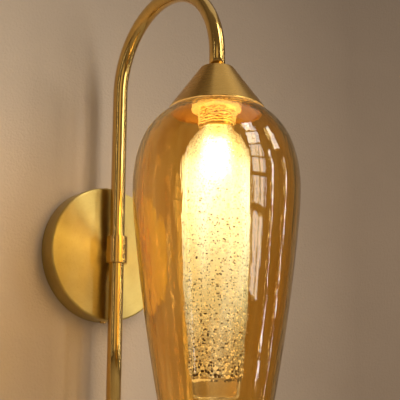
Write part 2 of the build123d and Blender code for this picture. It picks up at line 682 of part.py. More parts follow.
def make_outer_glass():
    belly = Vector(GLASS_BELLY_R, GLASS_TOP - GLASS_BELLY_DROP)
    mouth = Vector(GLASS_MOUTH_R, GLASS_TOP - GLASS_HEIGHT)
    under_cone = Vector(CONE_MOUTH_R - GLASS_RIM_GAP, CONE_RIM_Z)
    top = TangentArc((GLASS_FLAT_R, GLASS_TOP), under_cone, tangent=heading(GLASS_TOP_SLOPE_DEG))
    shoulder = biarc(under_cone, top % 1, belly, heading(90), GLASS_SHOULDER_REACH)
    side = biarc(belly, heading(90), mouth, heading(90 + GLASS_MOUTH_LEAN_DEG), GLASS_SIDE_REACH)
    outside = [top] + shoulder + side
    inside = inset(outside, GLASS_WALL)
    rim = rounded_rim(outside[-1], inside[-1])
    under = inside[0] @ 0
    hole_r = SKIRT_R + GLASS_HOLE_GAP
    flat = Polyline(under, (hole_r, under.Y), (hole_r, GLASS_TOP), top @ 0)
    return turned([*outside, rim, *inside, *flat.edges()], LAMP_Y)


def make_diffuser():
    neck_low = Vector(BOTTLE_NECK_R, BOTTLE_SHOULDER_Z)
    belly = Vector(BOTTLE_BELLY_R, BOTTLE_SHOULDER_Z - BOTTLE_BELLY_DROP)
    waist = belly - Vector(0, BOTTLE_STRAIGHT)
    corner_z = BOTTLE_LOW + BOTTLE_BASE_CORNER
    foot_r = BOTTLE_BASE_R - BOTTLE_BASE_CORNER
    corner_mid = Vector(foot_r, corner_z) + heading(45) * BOTTLE_BASE_CORNER
    shoulder = biarc(neck_low, heading(BOTTLE_SHOULDER_SLOPE_DEG), belly, heading(90), BOTTLE_SHOULDER_REACH)
    side = TangentArc(waist, (BOTTLE_BASE_R, corner_z), tangent=heading(90))
    foot = ThreePointArc(side @ 1, corner_mid, (foot_r, BOTTLE_LOW))
    outside = shoulder + [Line(belly, waist), side]
    base = Polyline(foot @ 1, (0, BOTTLE_LOW), (0, BOTTLE_TOP))
    bead = Polyline(
        (0, BOTTLE_TOP), (BOTTLE_BEAD_R, BOTTLE_TOP), (BOTTLE_BEAD_R, BEAD_LOW), (BOTTLE_NECK_R, BEAD_LOW), neck_low)
    blank = turned([*bead.edges(), *outside, foot, *base.edges()], LAMP_Y)
    inside = inset(outside, BOTTLE_WALL)
    bore_low = inside[0] @ 0
    well_low = inside[-1] @ 1
    bore = Polyline((0, BOTTLE_TOP), (bore_low.X, BOTTLE_TOP), bore_low)
    well = Polyline(well_low, (0, well_low.Y), (0, BOTTLE_TOP))
    cavity = turned([*bore.edges(), *inside, *well.edges()], LAMP_Y)
    cavity += disc(BOTTLE_NECK_R - BOTTLE_NECK_WALL, bore_low.Y - BOTTLE_WALL, BOTTLE_TOP, LAMP_Y)
    cavity -= disc(BOTTLE_BELLY_R, BOTTLE_LOW, BOTTLE_LOW + BOTTLE_BASE_THICK, LAMP_Y)
    return blank - fillet(cavity.edges().group_by(Axis.Z)[0], BOTTLE_CUP_R)


def make_diffuser_spring_ring():
    start = SNAP_GAP_DEG / 2
    path = CenterArc((0, LAMP_Y, SNAP_Z), SNAP_RING_R, start, 360 - SNAP_GAP_DEG)
    return swept(path, SNAP_WIRE_R)


# Two-pin lamp


def make_lamp_base():
    body = disc(LAMP_R, LAMP_BASE_LOW, LAMP_TOP, LAMP_Y)
    body += disc(LAMP_R - LAMP_WALL - FIT, LAMP_BASE_LOW - LAMP_BOSS, LAMP_BASE_LOW, LAMP_Y)
    for x, y in contact_places():
        for side in (-1, 1):
            root = Cylinder(PIN_R + FIT, PIN_ROOT, align=BASE)
            body -= Pos(x, y + side * PIN_LOOP_R, LAMP_TOP - PIN_ROOT) * root
    slot = Box(BOARD_WIDTH + 2 * FIT, BOARD_THICK + 2 * FIT, LAMP_BOSS, align=BASE)
    return body - Pos(0, LAMP_Y, LAMP_BASE_LOW - LAMP_BOSS) * slot


def make_lamp_pins():
    low = LAMP_TOP - PIN_ROOT
    bend = LAMP_TOP + PIN_REACH - PIN_LOOP_R
    loops = []
    for x, y in contact_places():
        left = Vector(x, y - PIN_LOOP_R, bend)
        right = Vector(x, y + PIN_LOOP_R, bend)
        crown = ThreePointArc(left, (x, y, bend + PIN_LOOP_R), right)
        up = Line((x, y - PIN_LOOP_R, low), left)
        down = Line(right, (x, y + PIN_LOOP_R, low))
        loops.append(swept(Wire([up, crown, down]), PIN_R))
    return group(*loops)


def capsule(radius, low, high):
    """Round-ended cylinder, flat at its top."""
    body = disc(radius, low + radius, high, LAMP_Y)
    return body + Pos(0, LAMP_Y, low + radius) * Sphere(radius)


def make_lamp_envelope():
    low = LAMP_BASE_LOW - LAMP_LENGTH
    return capsule(LAMP_R, low, LAMP_BASE_LOW) - capsule(LAMP_R - LAMP_WALL, low + LAMP_WALL, LAMP_BASE_LOW)


def make_lamp_led_board():
    board = Box(BOARD_WIDTH, BOARD_THICK, BOARD_LENGTH, align=(Align.CENTER, Align.CENTER, Align.MAX))
    return Pos(0, LAMP_Y, LAMP_BASE_LOW) * board


NODES = {
    "canopy": make_canopy,
    "wall_bracket": make_wall_bracket,
    "canopy_screws": make_canopy_screws,
    "collar": make_collar,
    "stem_spigot": make_stem_spigot,
    "spigot_washer": make_spigot_washer,
    "spigot_nut": make_spigot_nut,
    "wire_bush": make_wire_bush,
    "arm_tube": make_arm_tube,
    "stem_end_cap": make_stem_end_cap,
    "terminal_block": make_terminal_block,
    "terminal_screws": make_terminal_screws,
    "terminal_fixing_screw": make_terminal_fixing_screw,
    "earth_screw": make_earth_screw,
    "earth_terminal_bracket": make_earth_terminal_bracket,
    "earth_terminal_spigot": make_earth_terminal_spigot,
    "earth_wire": make_earth_wire,
    "live_wire": make_live_wire,
    "neutral_wire": make_neutral_wire,
    "cone_cap": make_cone_cap,
    "lampholder_nipple": make_lampholder_nipple,
    "nipple_washer": make_nipple_washer,
    "nipple_locknut": make_nipple_locknut,
    "lampholder_cap": make_lampholder_cap,
    "lampholder_skirt": make_lampholder_skirt,
    "lampholder_insert": make_lampholder_insert,
    "socket_contacts": make_socket_contacts,
    "shade_gasket": make_shade_gasket,
    "shade_ring": make_shade_ring,
    "outer_glass": make_outer_glass,
    "diffuser": make_diffuser,
    "diffuser_spring_ring": make_diffuser_spring_ring,
    "lamp_base": make_lamp_base,
    "lamp_pins": make_lamp_pins,
    "lamp_envelope": make_lamp_envelope,
    "lamp_led_board": make_lamp_led_board,
}

os.makedirs("parts", exist_ok=True)
for name, make in NODES.items():
    export_step(make(), f"parts/{name}.step")
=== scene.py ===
"""Looks for a glass wall light.

Brass plate and gooseneck, brass cone, and two nested glasses round a lit lamp.
"""

import json
import logging
import math
import random
from dataclasses import dataclass
from enum import Enum

import bmesh
import bpy
from mathutils import Matrix, Vector

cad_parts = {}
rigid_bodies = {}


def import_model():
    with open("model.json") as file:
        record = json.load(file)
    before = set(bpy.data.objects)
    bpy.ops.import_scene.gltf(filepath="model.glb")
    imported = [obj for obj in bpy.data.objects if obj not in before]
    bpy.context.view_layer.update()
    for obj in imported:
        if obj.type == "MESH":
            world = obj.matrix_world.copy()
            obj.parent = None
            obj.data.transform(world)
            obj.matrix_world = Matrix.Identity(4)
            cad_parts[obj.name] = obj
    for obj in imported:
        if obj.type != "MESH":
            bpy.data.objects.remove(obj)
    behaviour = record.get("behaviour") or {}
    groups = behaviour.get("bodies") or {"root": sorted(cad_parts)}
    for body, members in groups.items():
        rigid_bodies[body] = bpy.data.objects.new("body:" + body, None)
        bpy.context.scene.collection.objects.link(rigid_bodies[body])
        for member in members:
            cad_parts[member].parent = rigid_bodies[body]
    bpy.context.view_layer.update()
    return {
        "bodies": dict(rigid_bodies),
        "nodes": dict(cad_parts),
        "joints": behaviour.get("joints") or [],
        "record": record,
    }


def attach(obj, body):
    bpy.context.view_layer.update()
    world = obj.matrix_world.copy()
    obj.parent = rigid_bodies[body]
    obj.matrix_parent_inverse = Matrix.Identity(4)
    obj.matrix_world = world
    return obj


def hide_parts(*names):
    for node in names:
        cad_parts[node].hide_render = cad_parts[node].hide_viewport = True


LOG = logging.getLogger("wall_light")
MM = 0.001
STEM_Y = -26.35
LAMP_Y = -157.35
ORIGIN = (0, 0, 0)
LAMP_AXIS = (0, LAMP_Y, 0)
STEM_AXIS = (0, STEM_Y, 0)
WHITE = (1.0, 1.0, 1.0)
# Most of a noise's values lie between these two
MIDDLE = (0.3, 0.7)
# Edges that bend by more than this many degrees stay sharp
SHARP = 32.0
# Points closer than these, in metres, are one point: in new pieces, and in the frame's own
SAME_SPOT = 1e-7
SAME_FACET = 1e-6

Colour = tuple[float, float, float]
Triple = tuple[float, float, float]
Point = tuple[float, float]
Socket = bpy.types.NodeSocket
Node = bpy.types.Node
Tree = bpy.types.NodeTree
Material = bpy.types.Material
Thing = bpy.types.Object
Shape = bmesh.types.BMesh


class Lathe(Enum):
    """The axes that turned pieces stand on."""

    LAMP = "lamp"
    STEM = "stem"
    WALL = "wall"


class Polish(Enum):
    """How the polishing lines run on a brass piece."""

    TURNED = "turned"
    DRAWN = "drawn"


# Node tools


def opaque(colour: Colour | Socket) -> object:
    """A colour with full cover; a socket stays as it is."""
    return colour if isinstance(colour, Socket) else (*colour, 1.0)


class Wiring:
    """Adds nodes to one node tree and joins their sockets."""

    def __init__(self, tree: Tree) -> None:
        """Keeps the tree to work in."""
        self.tree = tree

    def add(self, kind: str, inputs: dict | None = None, **settings: object) -> Node:
        """Adds a node.

        Args:
            kind: Blender's node type.
            inputs: Values or sockets for its inputs, by name or number.
            settings: Properties of the node itself.

        Returns:
            The new node.
        """
        node = self.tree.nodes.new(kind)
        for key, value in settings.items():
            setattr(node, key, value)
        for key, value in (inputs or {}).items():
            if isinstance(value, Socket):
                self.tree.links.new(value, node.inputs[key])
            else:
                node.inputs[key].default_value = value
        return node

    def maths(self, operation: str, first: object, second: object) -> Socket:
        """Joins two numbers by a Math node."""
        return self.add("ShaderNodeMath", {0: first, 1: second}, operation=operation).outputs[0]

    def plus(self, first: object, second: object) -> Socket:
        """Adds two numbers."""
        return self.maths("ADD", first, second)

    def times(self, first: object, second: object) -> Socket:
        """Multiplies two numbers."""
        return self.maths("MULTIPLY", first, second)

    def vector(self, operation: str, first: object, second: Triple = ORIGIN) -> Node:
        """Works on vectors by a Vector Math node, which is returned."""
        return self.add("ShaderNodeVectorMath", {0: first, 1: second}, operation=operation)

    def height(self, vector: Socket) -> Socket:
        """The Z part of a vector."""
        return self.add("ShaderNodeSeparateXYZ", {0: vector}).outputs[2]

    def blend(self, factor: Socket, first: Colour | Socket, second: Colour | Socket) -> Socket:
        """Mixes two colours."""
        inputs = {0: factor, 6: opaque(first), 7: opaque(second)}
        return self.add("ShaderNodeMix", inputs, data_type="RGBA").outputs[2]

    def ramp(self, factor: Socket, stops: list[tuple[float, Colour]]) -> Socket:
        """Spreads a number from 0 to 1 over colours, given with their places in rising order."""
        node = self.add("ShaderNodeValToRGB", {0: factor})
        bar = node.color_ramp.elements
        bar.remove(bar[1])
        bar[0].position = stops[0][0]
        bar[0].color = opaque(stops[0][1])
        for place, colour in stops[1:]:
            bar.new(place).color = opaque(colour)
        return node.outputs[0]

    def span(
        self, value: Socket, low: float, high: float, to_low: float = 0.0, to_high: float = 1.0
    ) -> Socket:
        """Carries a number from one range to another, held at the ends."""
        inputs = {0: value, 1: low, 2: high, 3: to_low, 4: to_high}
        return self.add("ShaderNodeMapRange", inputs).outputs[0]

    def place(self, centre: Triple = ORIGIN, turn: Triple = ORIGIN, scale: Triple = (1, 1, 1)) -> Socket:
        """Object coordinates, centred, turned and scaled.

        Args:
            centre: Where the new origin lies, in millimetres.
            turn: Turn about X, Y and Z in degrees.
            scale: Factor along each axis.

        Returns:
            The vector socket.
        """
        spot = self.add("ShaderNodeTexCoord").outputs["Object"]
        move = self.add("ShaderNodeMapping", {"Vector": spot, "Location": [-c * MM for c in centre]})
        inputs = {
            "Vector": move.outputs[0],
            "Rotation": [math.radians(t) for t in turn],
            "Scale": scale,
        }
        return self.add("ShaderNodeMapping", inputs).outputs[0]

    def noise(self, vector: Socket, scale: object, detail: float = 2.0, roughness: float = 0.5) -> Socket:
        """Noise over a vector, as one number."""
        inputs = {"Vector": vector, "Scale": scale, "Detail": detail, "Roughness": roughness}
        return self.add("ShaderNodeTexNoise", inputs).outputs[0]

    def bump(self, height: Socket, strength: float, distance: float, invert: bool = False) -> Socket:
        """A normal that follows a height."""
        inputs = {"Height": height, "Strength": strength, "Distance": distance}
        return self.add("ShaderNodeBump", inputs, invert=invert).outputs[0]

    def effect(self, group: Tree, vector: Socket, scale: float) -> tuple[Socket, Socket]:
        """Adds a shared effect and returns its two numbers."""
        node = self.add("ShaderNodeGroup", {0: vector, 1: scale}, node_tree=group)
        return node.outputs[0], node.outputs[1]

    def shadow_ray(self) -> Socket:
        """A mask of the rays that look for light."""
        return self.add("ShaderNodeLightPath").outputs["Is Shadow Ray"]

    def surface(self, inputs: dict, passing: Socket | None = None, tint: Colour = WHITE) -> None:
        """Ends a material in its shader.

        Args:
            inputs: Values and sockets of the Principled shader.
            passing: A mask of the rays that go straight through, if any do.
            tint: The colour that those rays take on.
        """
        shader = self.add("ShaderNodeBsdfPrincipled", inputs).outputs[0]
        if passing is not None:
            clear = self.add("ShaderNodeBsdfTransparent", {0: opaque(tint)}).outputs[0]
            shader = self.add("ShaderNodeMixShader", {0: passing, 1: shader, 2: clear}).outputs[0]
        self.add("ShaderNodeOutputMaterial", {0: shader})


class SharedEffects:
    """Node groups that several finishes use, each built once."""

    specks_to_cloud = 16.0
    streak_stretch = (1, 1, 0.06)
    fine_to_wide = 3.7
    fine_share = 0.25

    def __init__(self) -> None:
        """Builds the groups."""
        self.turning = self._turning_lines()
        self.tarnish = self._tarnish()
        self.draw_marks = self._draw_marks()

    @staticmethod
    def _open(name: str, number: str, outputs: tuple[str, str]) -> tuple[Wiring, Socket, Socket]:
        """Opens a group that takes a vector and a named number and gives two named numbers."""
        group = bpy.data.node_groups.new(name, "ShaderNodeTree")
        for label, kind in (("Vector", "NodeSocketVector"), (number, "NodeSocketFloat")):
            group.interface.new_socket(label, in_out="INPUT", socket_type=kind)
        for label in outputs:
            group.interface.new_socket(label, in_out="OUTPUT", socket_type="NodeSocketFloat")
        wires = Wiring(group)
        given = wires.add("NodeGroupInput")
        return wires, given.outputs[0], given.outputs[1]

    def _turning_lines(self) -> Tree:
        """Fine rings about the Z axis, as a lathe and an abrasive leave them."""
        wires, vector, lines = self._open("Turning lines", "Lines", ("Streak", "Height"))
        flat = wires.vector("MULTIPLY", vector, (1, 1, 0)).outputs[0]
        reach = wires.vector("LENGTH", flat).outputs["Value"]
        inputs = {
            "Vector": wires.vector("NORMALIZE", flat).outputs[0],
            "W": wires.times(wires.plus(reach, wires.height(vector)), lines),
            "Scale": 1.0,
            "Detail": 4.0,
            "Roughness": 0.7,
        }
        grooves = wires.add("ShaderNodeTexNoise", inputs, noise_dimensions="4D").outputs[0]
        wires.add("NodeGroupOutput", {0: wires.span(grooves, *MIDDLE), 1: grooves})
        return wires.tree

    def _tarnish(self) -> Tree:
        """Soft clouds with a few small specks, for metal that has aged and hands have touched."""
        wires, vector, scale = self._open("Tarnish", "Scale", ("Clouds", "Specks"))
        clouds = wires.noise(vector, scale, 5.0, 0.6)
        specks = wires.noise(vector, wires.times(scale, self.specks_to_cloud))
        wires.add("NodeGroupOutput", {0: wires.span(clouds, 0.32, 0.68), 1: wires.span(specks, 0.62, 0.74)})
        return wires.tree

    def _draw_marks(self) -> Tree:
        """Long streaks along the Z axis, as drawing leaves them in glass and tube."""
        wires, vector, width = self._open("Draw marks", "Width", ("Streak", "Height"))
        drawn = wires.vector("MULTIPLY", vector, self.streak_stretch).outputs[0]
        wide = wires.noise(drawn, width)
        fine = wires.noise(drawn, wires.times(width, self.fine_to_wide))
        both = wires.plus(wide, wires.times(fine, self.fine_share))
        wires.add("NodeGroupOutput", {0: wires.span(wide, 0.35, 0.65), 1: both})
        return wires.tree


# Finishes


@dataclass(frozen=True)
class Finish:
    """What every finish has: a name and a way to make its material."""

    name: str

    def make(self, effects: SharedEffects) -> Material:
        """Makes the material."""
        material = bpy.data.materials.new(self.name)
        material.use_nodes = True
        material.node_tree.nodes.clear()
        self.wire(Wiring(material.node_tree), effects)
        return material

    def wire(self, wires: Wiring, effects: SharedEffects) -> None:
        """Adds the finish's own nodes."""
        raise NotImplementedError


@dataclass(frozen=True)
class Brass(Finish):
    """Satin brass under a thin lacquer."""

    light: Colour = (0.72, 0.44, 0.11)
    deep: Colour = (0.50, 0.28, 0.045)
    roughness: float = 0.24
    coat: float = 0.6
    coat_roughness: float = 0.12
    polish: Polish = Polish.TURNED
    centre: Triple = LAMP_AXIS
    turn: Triple = ORIGIN
    lines: float = 5200.0
    line_depth: float = 0.05
    line_height: float = 0.0004
    anisotropy: float = 0.5
    # Glow makes the brass give off its own colour: painted lamplight, for brass that the lamp lights inside
    # the shade
    glow: float = 0.0
    cloud_scale: float = 38.0
    cloud_tone: float = 0.35
    streak_tone: float = 0.22
    speck_tone: float = 0.2
    smoothest: float = -0.03
    streak_dulling: float = 0.07
    cloud_dulling: float = 0.05

    def wire(self, wires: Wiring, effects: SharedEffects) -> None:
        """Adds the brass, with polishing lines, tarnish and their gloss."""
        spot = wires.place(self.centre, self.turn)
        lines = effects.turning if self.polish is Polish.TURNED else effects.draw_marks
        streak, height = wires.effect(lines, spot, self.lines)
        clouds, specks = wires.effect(effects.tarnish, spot, self.cloud_scale)
        tone = wires.times(clouds, self.cloud_tone)
        tone = wires.plus(tone, wires.times(streak, self.streak_tone))
        tone = wires.plus(tone, wires.times(specks, self.speck_tone))
        colour = wires.blend(tone, self.light, self.deep)
        gloss = wires.plus(wires.times(streak, self.streak_dulling), self.roughness + self.smoothest)
        inputs = {
            "Base Color": colour,
            "Roughness": wires.plus(gloss, wires.times(clouds, self.cloud_dulling)),
            "Metallic": 1.0,
            "Anisotropic": self.anisotropy,
            "Coat Weight": self.coat,
            "Coat Roughness": self.coat_roughness,
            "Normal": wires.bump(height, self.line_depth, self.line_height),
        }
        # Painted lamplight: emission in the brass's own colour
        if self.glow:
            inputs |= {"Emission Color": colour, "Emission Strength": self.glow}
        if self.anisotropy:
            inputs["Tangent"] = self._across(wires)
        wires.surface(inputs)

    def _across(self, wires: Wiring) -> Socket:
        """The direction across the polishing lines: outwards on the wall plate, upwards on the rest."""
        if self.turn == ORIGIN:
            return wires.add("ShaderNodeCombineXYZ", {2: 1.0}).outputs[0]
        return wires.vector("NORMALIZE", wires.place(self.centre, ORIGIN, (1, 0, 1))).outputs[0]


@dataclass(frozen=True)
class AmberGlass(Finish):
    """Clear amber glass with soft upright streaks."""

    tint: Colour = (0.97, 0.77, 0.36)
    deep: Colour = (0.87, 0.60, 0.19)
    shadow: Colour = (0.84, 0.77, 0.62)
    ior: float = 1.47
    streak_width: float = 80.0
    streak_depth: float = 0.09
    streak_height: float = 0.004
    smear_scale: float = 30.0
    smear: float = 0.03
    inside: bool = False

    def wire(self, wires: Wiring, effects: SharedEffects) -> None:
        """Adds the glass, whose inner waves follow its outer ones, so the wall keeps its thickness."""
        spot = wires.place(LAMP_AXIS)
        streak, height = wires.effect(effects.draw_marks, spot, self.streak_width)
        inputs = {
            "Base Color": wires.blend(streak, self.tint, self.deep),
            "Roughness": wires.span(wires.noise(spot, self.smear_scale), *MIDDLE, 0.0, self.smear),
            "IOR": self.ior,
            "Transmission Weight": 1.0,
            "Normal": wires.bump(height, self.streak_depth, self.streak_height, self.inside),
        }
        wires.surface(inputs, wires.shadow_ray(), self.shadow)


@dataclass(frozen=True)
class BubbleGlass(Finish):
    """Pale glass full of seeds, with a painted glow that stands in for the lamp's light inside it. Bands are
    in metres, levels in millimetres.
    """

    tint: Colour = (0.98, 0.97, 0.94)
    shadow: Colour = (0.92, 0.88, 0.78)
    ior: float = 1.45
    frost: float = 0.10
    foot_frost: float = 0.05
    frost_band: Point = (-0.105, 0.02)
    fine_seeds: float = 430.0
    fine_share: float = 0.8
    coarse_seeds: float = 260.0
    coarse_band: Point = (-0.104, -0.03)
    seeded_band: Point = (-0.108, -0.100)
    seed_edge: Point = (0.20, 0.34)
    seed_shade: float = 0.92
    seed_dark: Colour = (0.02, 0.012, 0.004)
    seed_tint: Colour = (0.78, 0.66, 0.48)
    streak_width: float = 120.0
    streak_band: Point = (-0.110, -0.106)
    streak_shade: float = 0.8
    streak_dark: Colour = (0.004, 0.002, 0.001)
    streak_relief: float = 0.5
    relief: float = 0.6
    relief_height: float = 0.0016
    # Painted glow: levels give the emission at each height, shared over so many glass faces
    walls: float = 3.6
    low: float = -124.0
    high: float = 90.0
    levels: tuple[tuple[float, Colour], ...] = (
        (-124.0, (0.24, 0.18, 0.11)),
        (-104.0, (0.30, 0.27, 0.24)),
        (-84.0, (0.31, 0.32, 0.35)),
        (-50.0, (0.48, 0.56, 0.66)),
        (-28.0, (0.66, 0.76, 0.92)),
        (-12.0, (0.92, 1.02, 1.26)),
        (4.0, (1.30, 1.42, 1.75)),
        (20.0, (2.00, 2.20, 2.60)),
        (42.0, (1.90, 2.05, 2.40)),
        (52.0, (0.76, 0.74, 0.76)),
        (62.0, (0.36, 0.29, 0.20)),
        (76.0, (0.22, 0.15, 0.06)),
    )

    def wire(self, wires: Wiring, effects: SharedEffects) -> None:
        """Adds the glass: a painted glow that follows the height, and seeds that grow towards the foot."""
        spot = wires.place(LAMP_AXIS)
        height = wires.height(spot)
        reach = self.high - self.low
        stops = [((z - self.low) / reach, tuple(c / self.walls for c in tone)) for z, tone in self.levels]
        # Painted light: emission that stands in for the lamp shining through the glass, dimmed at seeds and
        # streaks
        glow = wires.ramp(wires.span(height, self.low * MM, self.high * MM), stops)
        fine = wires.times(self._seeds(wires, spot, self.fine_seeds), self.fine_share)
        low_down = wires.span(height, *self.coarse_band, 1.0, 0.0)
        coarse = wires.times(self._seeds(wires, spot, self.coarse_seeds), low_down)
        seeds = wires.maths("MAXIMUM", fine, coarse)
        seeds = wires.times(seeds, wires.span(height, *self.seeded_band))
        glow = wires.blend(wires.times(seeds, self.seed_shade), glow, self.seed_dark)
        streak, waves = wires.effect(effects.draw_marks, spot, self.streak_width)
        clear_foot = wires.times(wires.span(height, *self.streak_band, 1.0, 0.0), streak)
        glow = wires.blend(wires.times(clear_foot, self.streak_shade), glow, self.streak_dark)
        relief = wires.plus(seeds, wires.times(waves, self.streak_relief))
        inputs = {
            "Base Color": wires.blend(seeds, self.tint, self.seed_tint),
            "Roughness": wires.span(height, *self.frost_band, self.foot_frost, self.frost),
            "IOR": self.ior,
            "Transmission Weight": 1.0,
            "Emission Color": glow,
            "Emission Strength": 1.0,
            "Normal": wires.bump(relief, self.relief, self.relief_height),
        }
        wires.surface(inputs, wires.shadow_ray(), self.shadow)

    def _seeds(self, wires: Wiring, spot: Socket, scale: float) -> Socket:
        """Round spots, one to a cell, as a mask."""
        cells = wires.add("ShaderNodeTexVoronoi", {"Vector": spot, "Scale": scale, "Randomness": 1.0})
        return wires.span(cells.outputs["Distance"], *self.seed_edge, 1.0, 0.0)


@dataclass(frozen=True)
class Bubbles(Finish):
    """Air bubbles on the bottle: painted shade where they face up, painted highlight and glow where they
    face down.
    """

    # Base colours and glows of the painted shade and the painted highlight
    dark: Colour = (0.08, 0.04, 0.012)
    pale: Colour = (0.55, 0.42, 0.24)
    painted_shade_glow: Colour = (0.01, 0.006, 0.002)
    painted_glow_low: Colour = (0.70, 0.58, 0.44)
    painted_glow_high: Colour = (1.6, 1.6, 1.7)
    glow_band: Point = (-0.108, 0.02)
    edge: float = -0.8
    edge_blur: float = 0.12
    grain: float = 900.0
    gloss: Point = (0.15, 0.3)

    def wire(self, wires: Wiring, effects: SharedEffects) -> None:
        """Adds the bubbles' nodes."""
        spot = wires.place(LAMP_AXIS)
        tilt = wires.height(wires.add("ShaderNodeNewGeometry").outputs["Normal"])
        # Painted highlight on faces that look further down than the edge, painted shade on the rest
        under = wires.span(tilt, self.edge - self.edge_blur, self.edge + self.edge_blur, 1.0, 0.0)
        stops = [(0.0, self.painted_glow_low), (1.0, self.painted_glow_high)]
        lit = wires.ramp(wires.span(wires.height(spot), *self.glow_band), stops)
        wires.surface({
            "Base Color": wires.blend(under, self.dark, self.pale),
            "Roughness": wires.span(wires.noise(spot, self.grain), *MIDDLE, *self.gloss),
            "Emission Color": wires.blend(under, self.painted_shade_glow, lit),
            "Emission Strength": 1.0,
        })


@dataclass(frozen=True)
class LampGlow(Finish):
    """Frosted lamp glass, lit from inside. Its ends are heights in metres."""

    strength: float = 26.0
    ends: Point = (0.038, 0.080)
    levels: tuple[tuple[float, Colour], ...] = (
        (0.0, (1.0, 0.93, 0.82)),
        (0.5, (1.0, 0.93, 0.82)),
        (0.62, (0.05, 0.045, 0.038)),
        (1.0, (0.03, 0.024, 0.016)),
    )
    grain: float = 700.0
    faintest: float = 0.92
    faint_glow: Colour = (0.8, 0.7, 0.5)
    dull: Colour = (0.90, 0.86, 0.78)
    pale: Colour = (0.97, 0.95, 0.90)

    def wire(self, wires: Wiring, effects: SharedEffects) -> None:
        """Adds the lit glass, bright in its lower half and dark towards its base."""
        spot = wires.place(LAMP_AXIS)
        along = wires.span(wires.height(spot), *self.ends)
        mottle = wires.span(wires.noise(spot, self.grain), *MIDDLE, self.faintest, 1.0)
        wires.surface({
            "Base Color": wires.blend(mottle, self.dull, self.pale),
            "Roughness": wires.span(mottle, 0.9, 1.0, 0.5, 0.6),
            "Emission Color": wires.blend(mottle, self.faint_glow, wires.ramp(along, self.levels)),
            "Emission Strength": self.strength,
        })


@dataclass(frozen=True)
class Plain(Finish):
    """Small parts: steel, ceramic, plastic, rubber and wire covers with their own fine mottling."""

    light: Colour = (0.8, 0.8, 0.8)
    deep: Colour = (0.6, 0.6, 0.6)
    roughness: float = 0.4
    metallic: float = 0.0
    grain: float = 260.0
    relief: float = 0.05
    relief_height: float = 0.0004
    glow: float = 0.0
    stripe: Colour | None = None
    stripe_scale: float = 70.0
    cloud_scale: float = 60.0
    cloud_tone: float = 0.5
    grain_tone: float = 0.4
    uneven: float = 0.06

    def wire(self, wires: Wiring, effects: SharedEffects) -> None:
        """Adds the small part's nodes."""
        spot = wires.place()
        clouds = wires.effect(effects.tarnish, spot, self.cloud_scale)[0]
        grain = wires.noise(spot, self.grain, 4.0)
        mottle = wires.plus(wires.times(clouds, self.cloud_tone), wires.times(grain, self.grain_tone))
        colour = wires.blend(mottle, self.light, self.deep)
        if self.stripe:
            inputs = {"Vector": spot, "Scale": self.stripe_scale}
            bands = wires.add("ShaderNodeTexWave", inputs, bands_direction="DIAGONAL").outputs[1]
            colour = wires.blend(wires.span(bands, 0.55, 0.62), colour, self.stripe)
        gloss = (self.roughness - self.uneven, self.roughness + self.uneven)
        inputs = {
            "Base Color": colour,
            "Roughness": wires.span(grain, *MIDDLE, *gloss),
            "Metallic": self.metallic,
            "Normal": wires.bump(grain, self.relief, self.relief_height),
        }
        if self.glow:
            inputs |= {"Emission Color": colour, "Emission Strength": self.glow}
        wires.surface(inputs)


@dataclass(frozen=True)
class Plaster(Finish):
    """Wall and floor paint, with painted shade that darkens it to the right and upwards. Rays from behind
    and rays that look for light pass through it.
    """

    # Painted light and shade: the lit tone at the left, the shaded one at the right, and the share of it
    # upwards
    painted_light_left: Colour = (0.69, 0.55, 0.41)
    right: Colour = (0.24, 0.174, 0.118)
    painted_shade_up_share: float = 0.45
    across: Point = (-0.12, 0.30)
    upward: Point = (0.06, 0.50)
    cloud_scale: float = 9.0
    cloud_tone: float = 0.16
    grain: float = 520.0
    relief: float = 0.4
    relief_height: float = 0.0012

    def wire(self, wires: Wiring, effects: SharedEffects) -> None:
        """Adds the wall paint with painted shade, darker to the right and upwards, and fine roller grain."""
        spot = wires.place()
        sides = wires.add("ShaderNodeSeparateXYZ", {0: spot}).outputs
        clouds = wires.maths("SUBTRACT", wires.noise(spot, self.cloud_scale, 4.0), 0.5)
        tone = wires.plus(wires.span(sides[0], *self.across), wires.times(clouds, self.cloud_tone))
        # Painted shade: lighter at the left, darker at the right, and darker again upwards
        colour = wires.ramp(tone, [(0.0, self.painted_light_left), (1.0, self.right)])
        painted_shade_up = tuple(c * self.painted_shade_up_share for c in self.right)
        grain = wires.noise(spot, self.grain, 5.0)
        inputs = {
            "Base Color": wires.blend(wires.span(sides[2], *self.upward), colour, painted_shade_up),
            "Roughness": 0.85,
            "Normal": wires.bump(grain, self.relief, self.relief_height),
        }
        back = wires.add("ShaderNodeNewGeometry").outputs["Backfacing"]
        wires.surface(inputs, wires.maths("MAXIMUM", back, wires.shadow_ray()))


class FinishShelf:
    """Makes each finish once and hands out its material."""

    def __init__(self) -> None:
        """Starts with the shared node groups and an empty shelf."""
        self.effects = SharedEffects()
        self.made: dict[str, Material] = {}

    def get(self, finish: Finish) -> Material:
        """The material of a finish."""
        if finish.name not in self.made:
            self.made[finish.name] = finish.make(self.effects)
        return self.made[finish.name]


PLATE_BRASS = Brass(
    "plate_brass", light=(0.55, 0.41, 0.125), deep=(0.34, 0.235, 0.05), centre=ORIGIN, turn=(-90, 0, 0),
    line_depth=0.10, anisotropy=0.85, roughness=0.36, coat=0.35, coat_roughness=0.25)
CONE_BRASS = Brass("cone_brass", roughness=0.25, coat=0.15)
STEM_BRASS = Brass(
    "stem_brass", light=(0.68, 0.44, 0.12), deep=(0.46, 0.27, 0.045), centre=STEM_AXIS,
    polish=Polish.DRAWN, lines=900.0, line_depth=0.03, anisotropy=0.0, roughness=0.15)
COLLAR_BRASS = Brass("collar_brass", centre=STEM_AXIS, anisotropy=0.3, roughness=0.2)
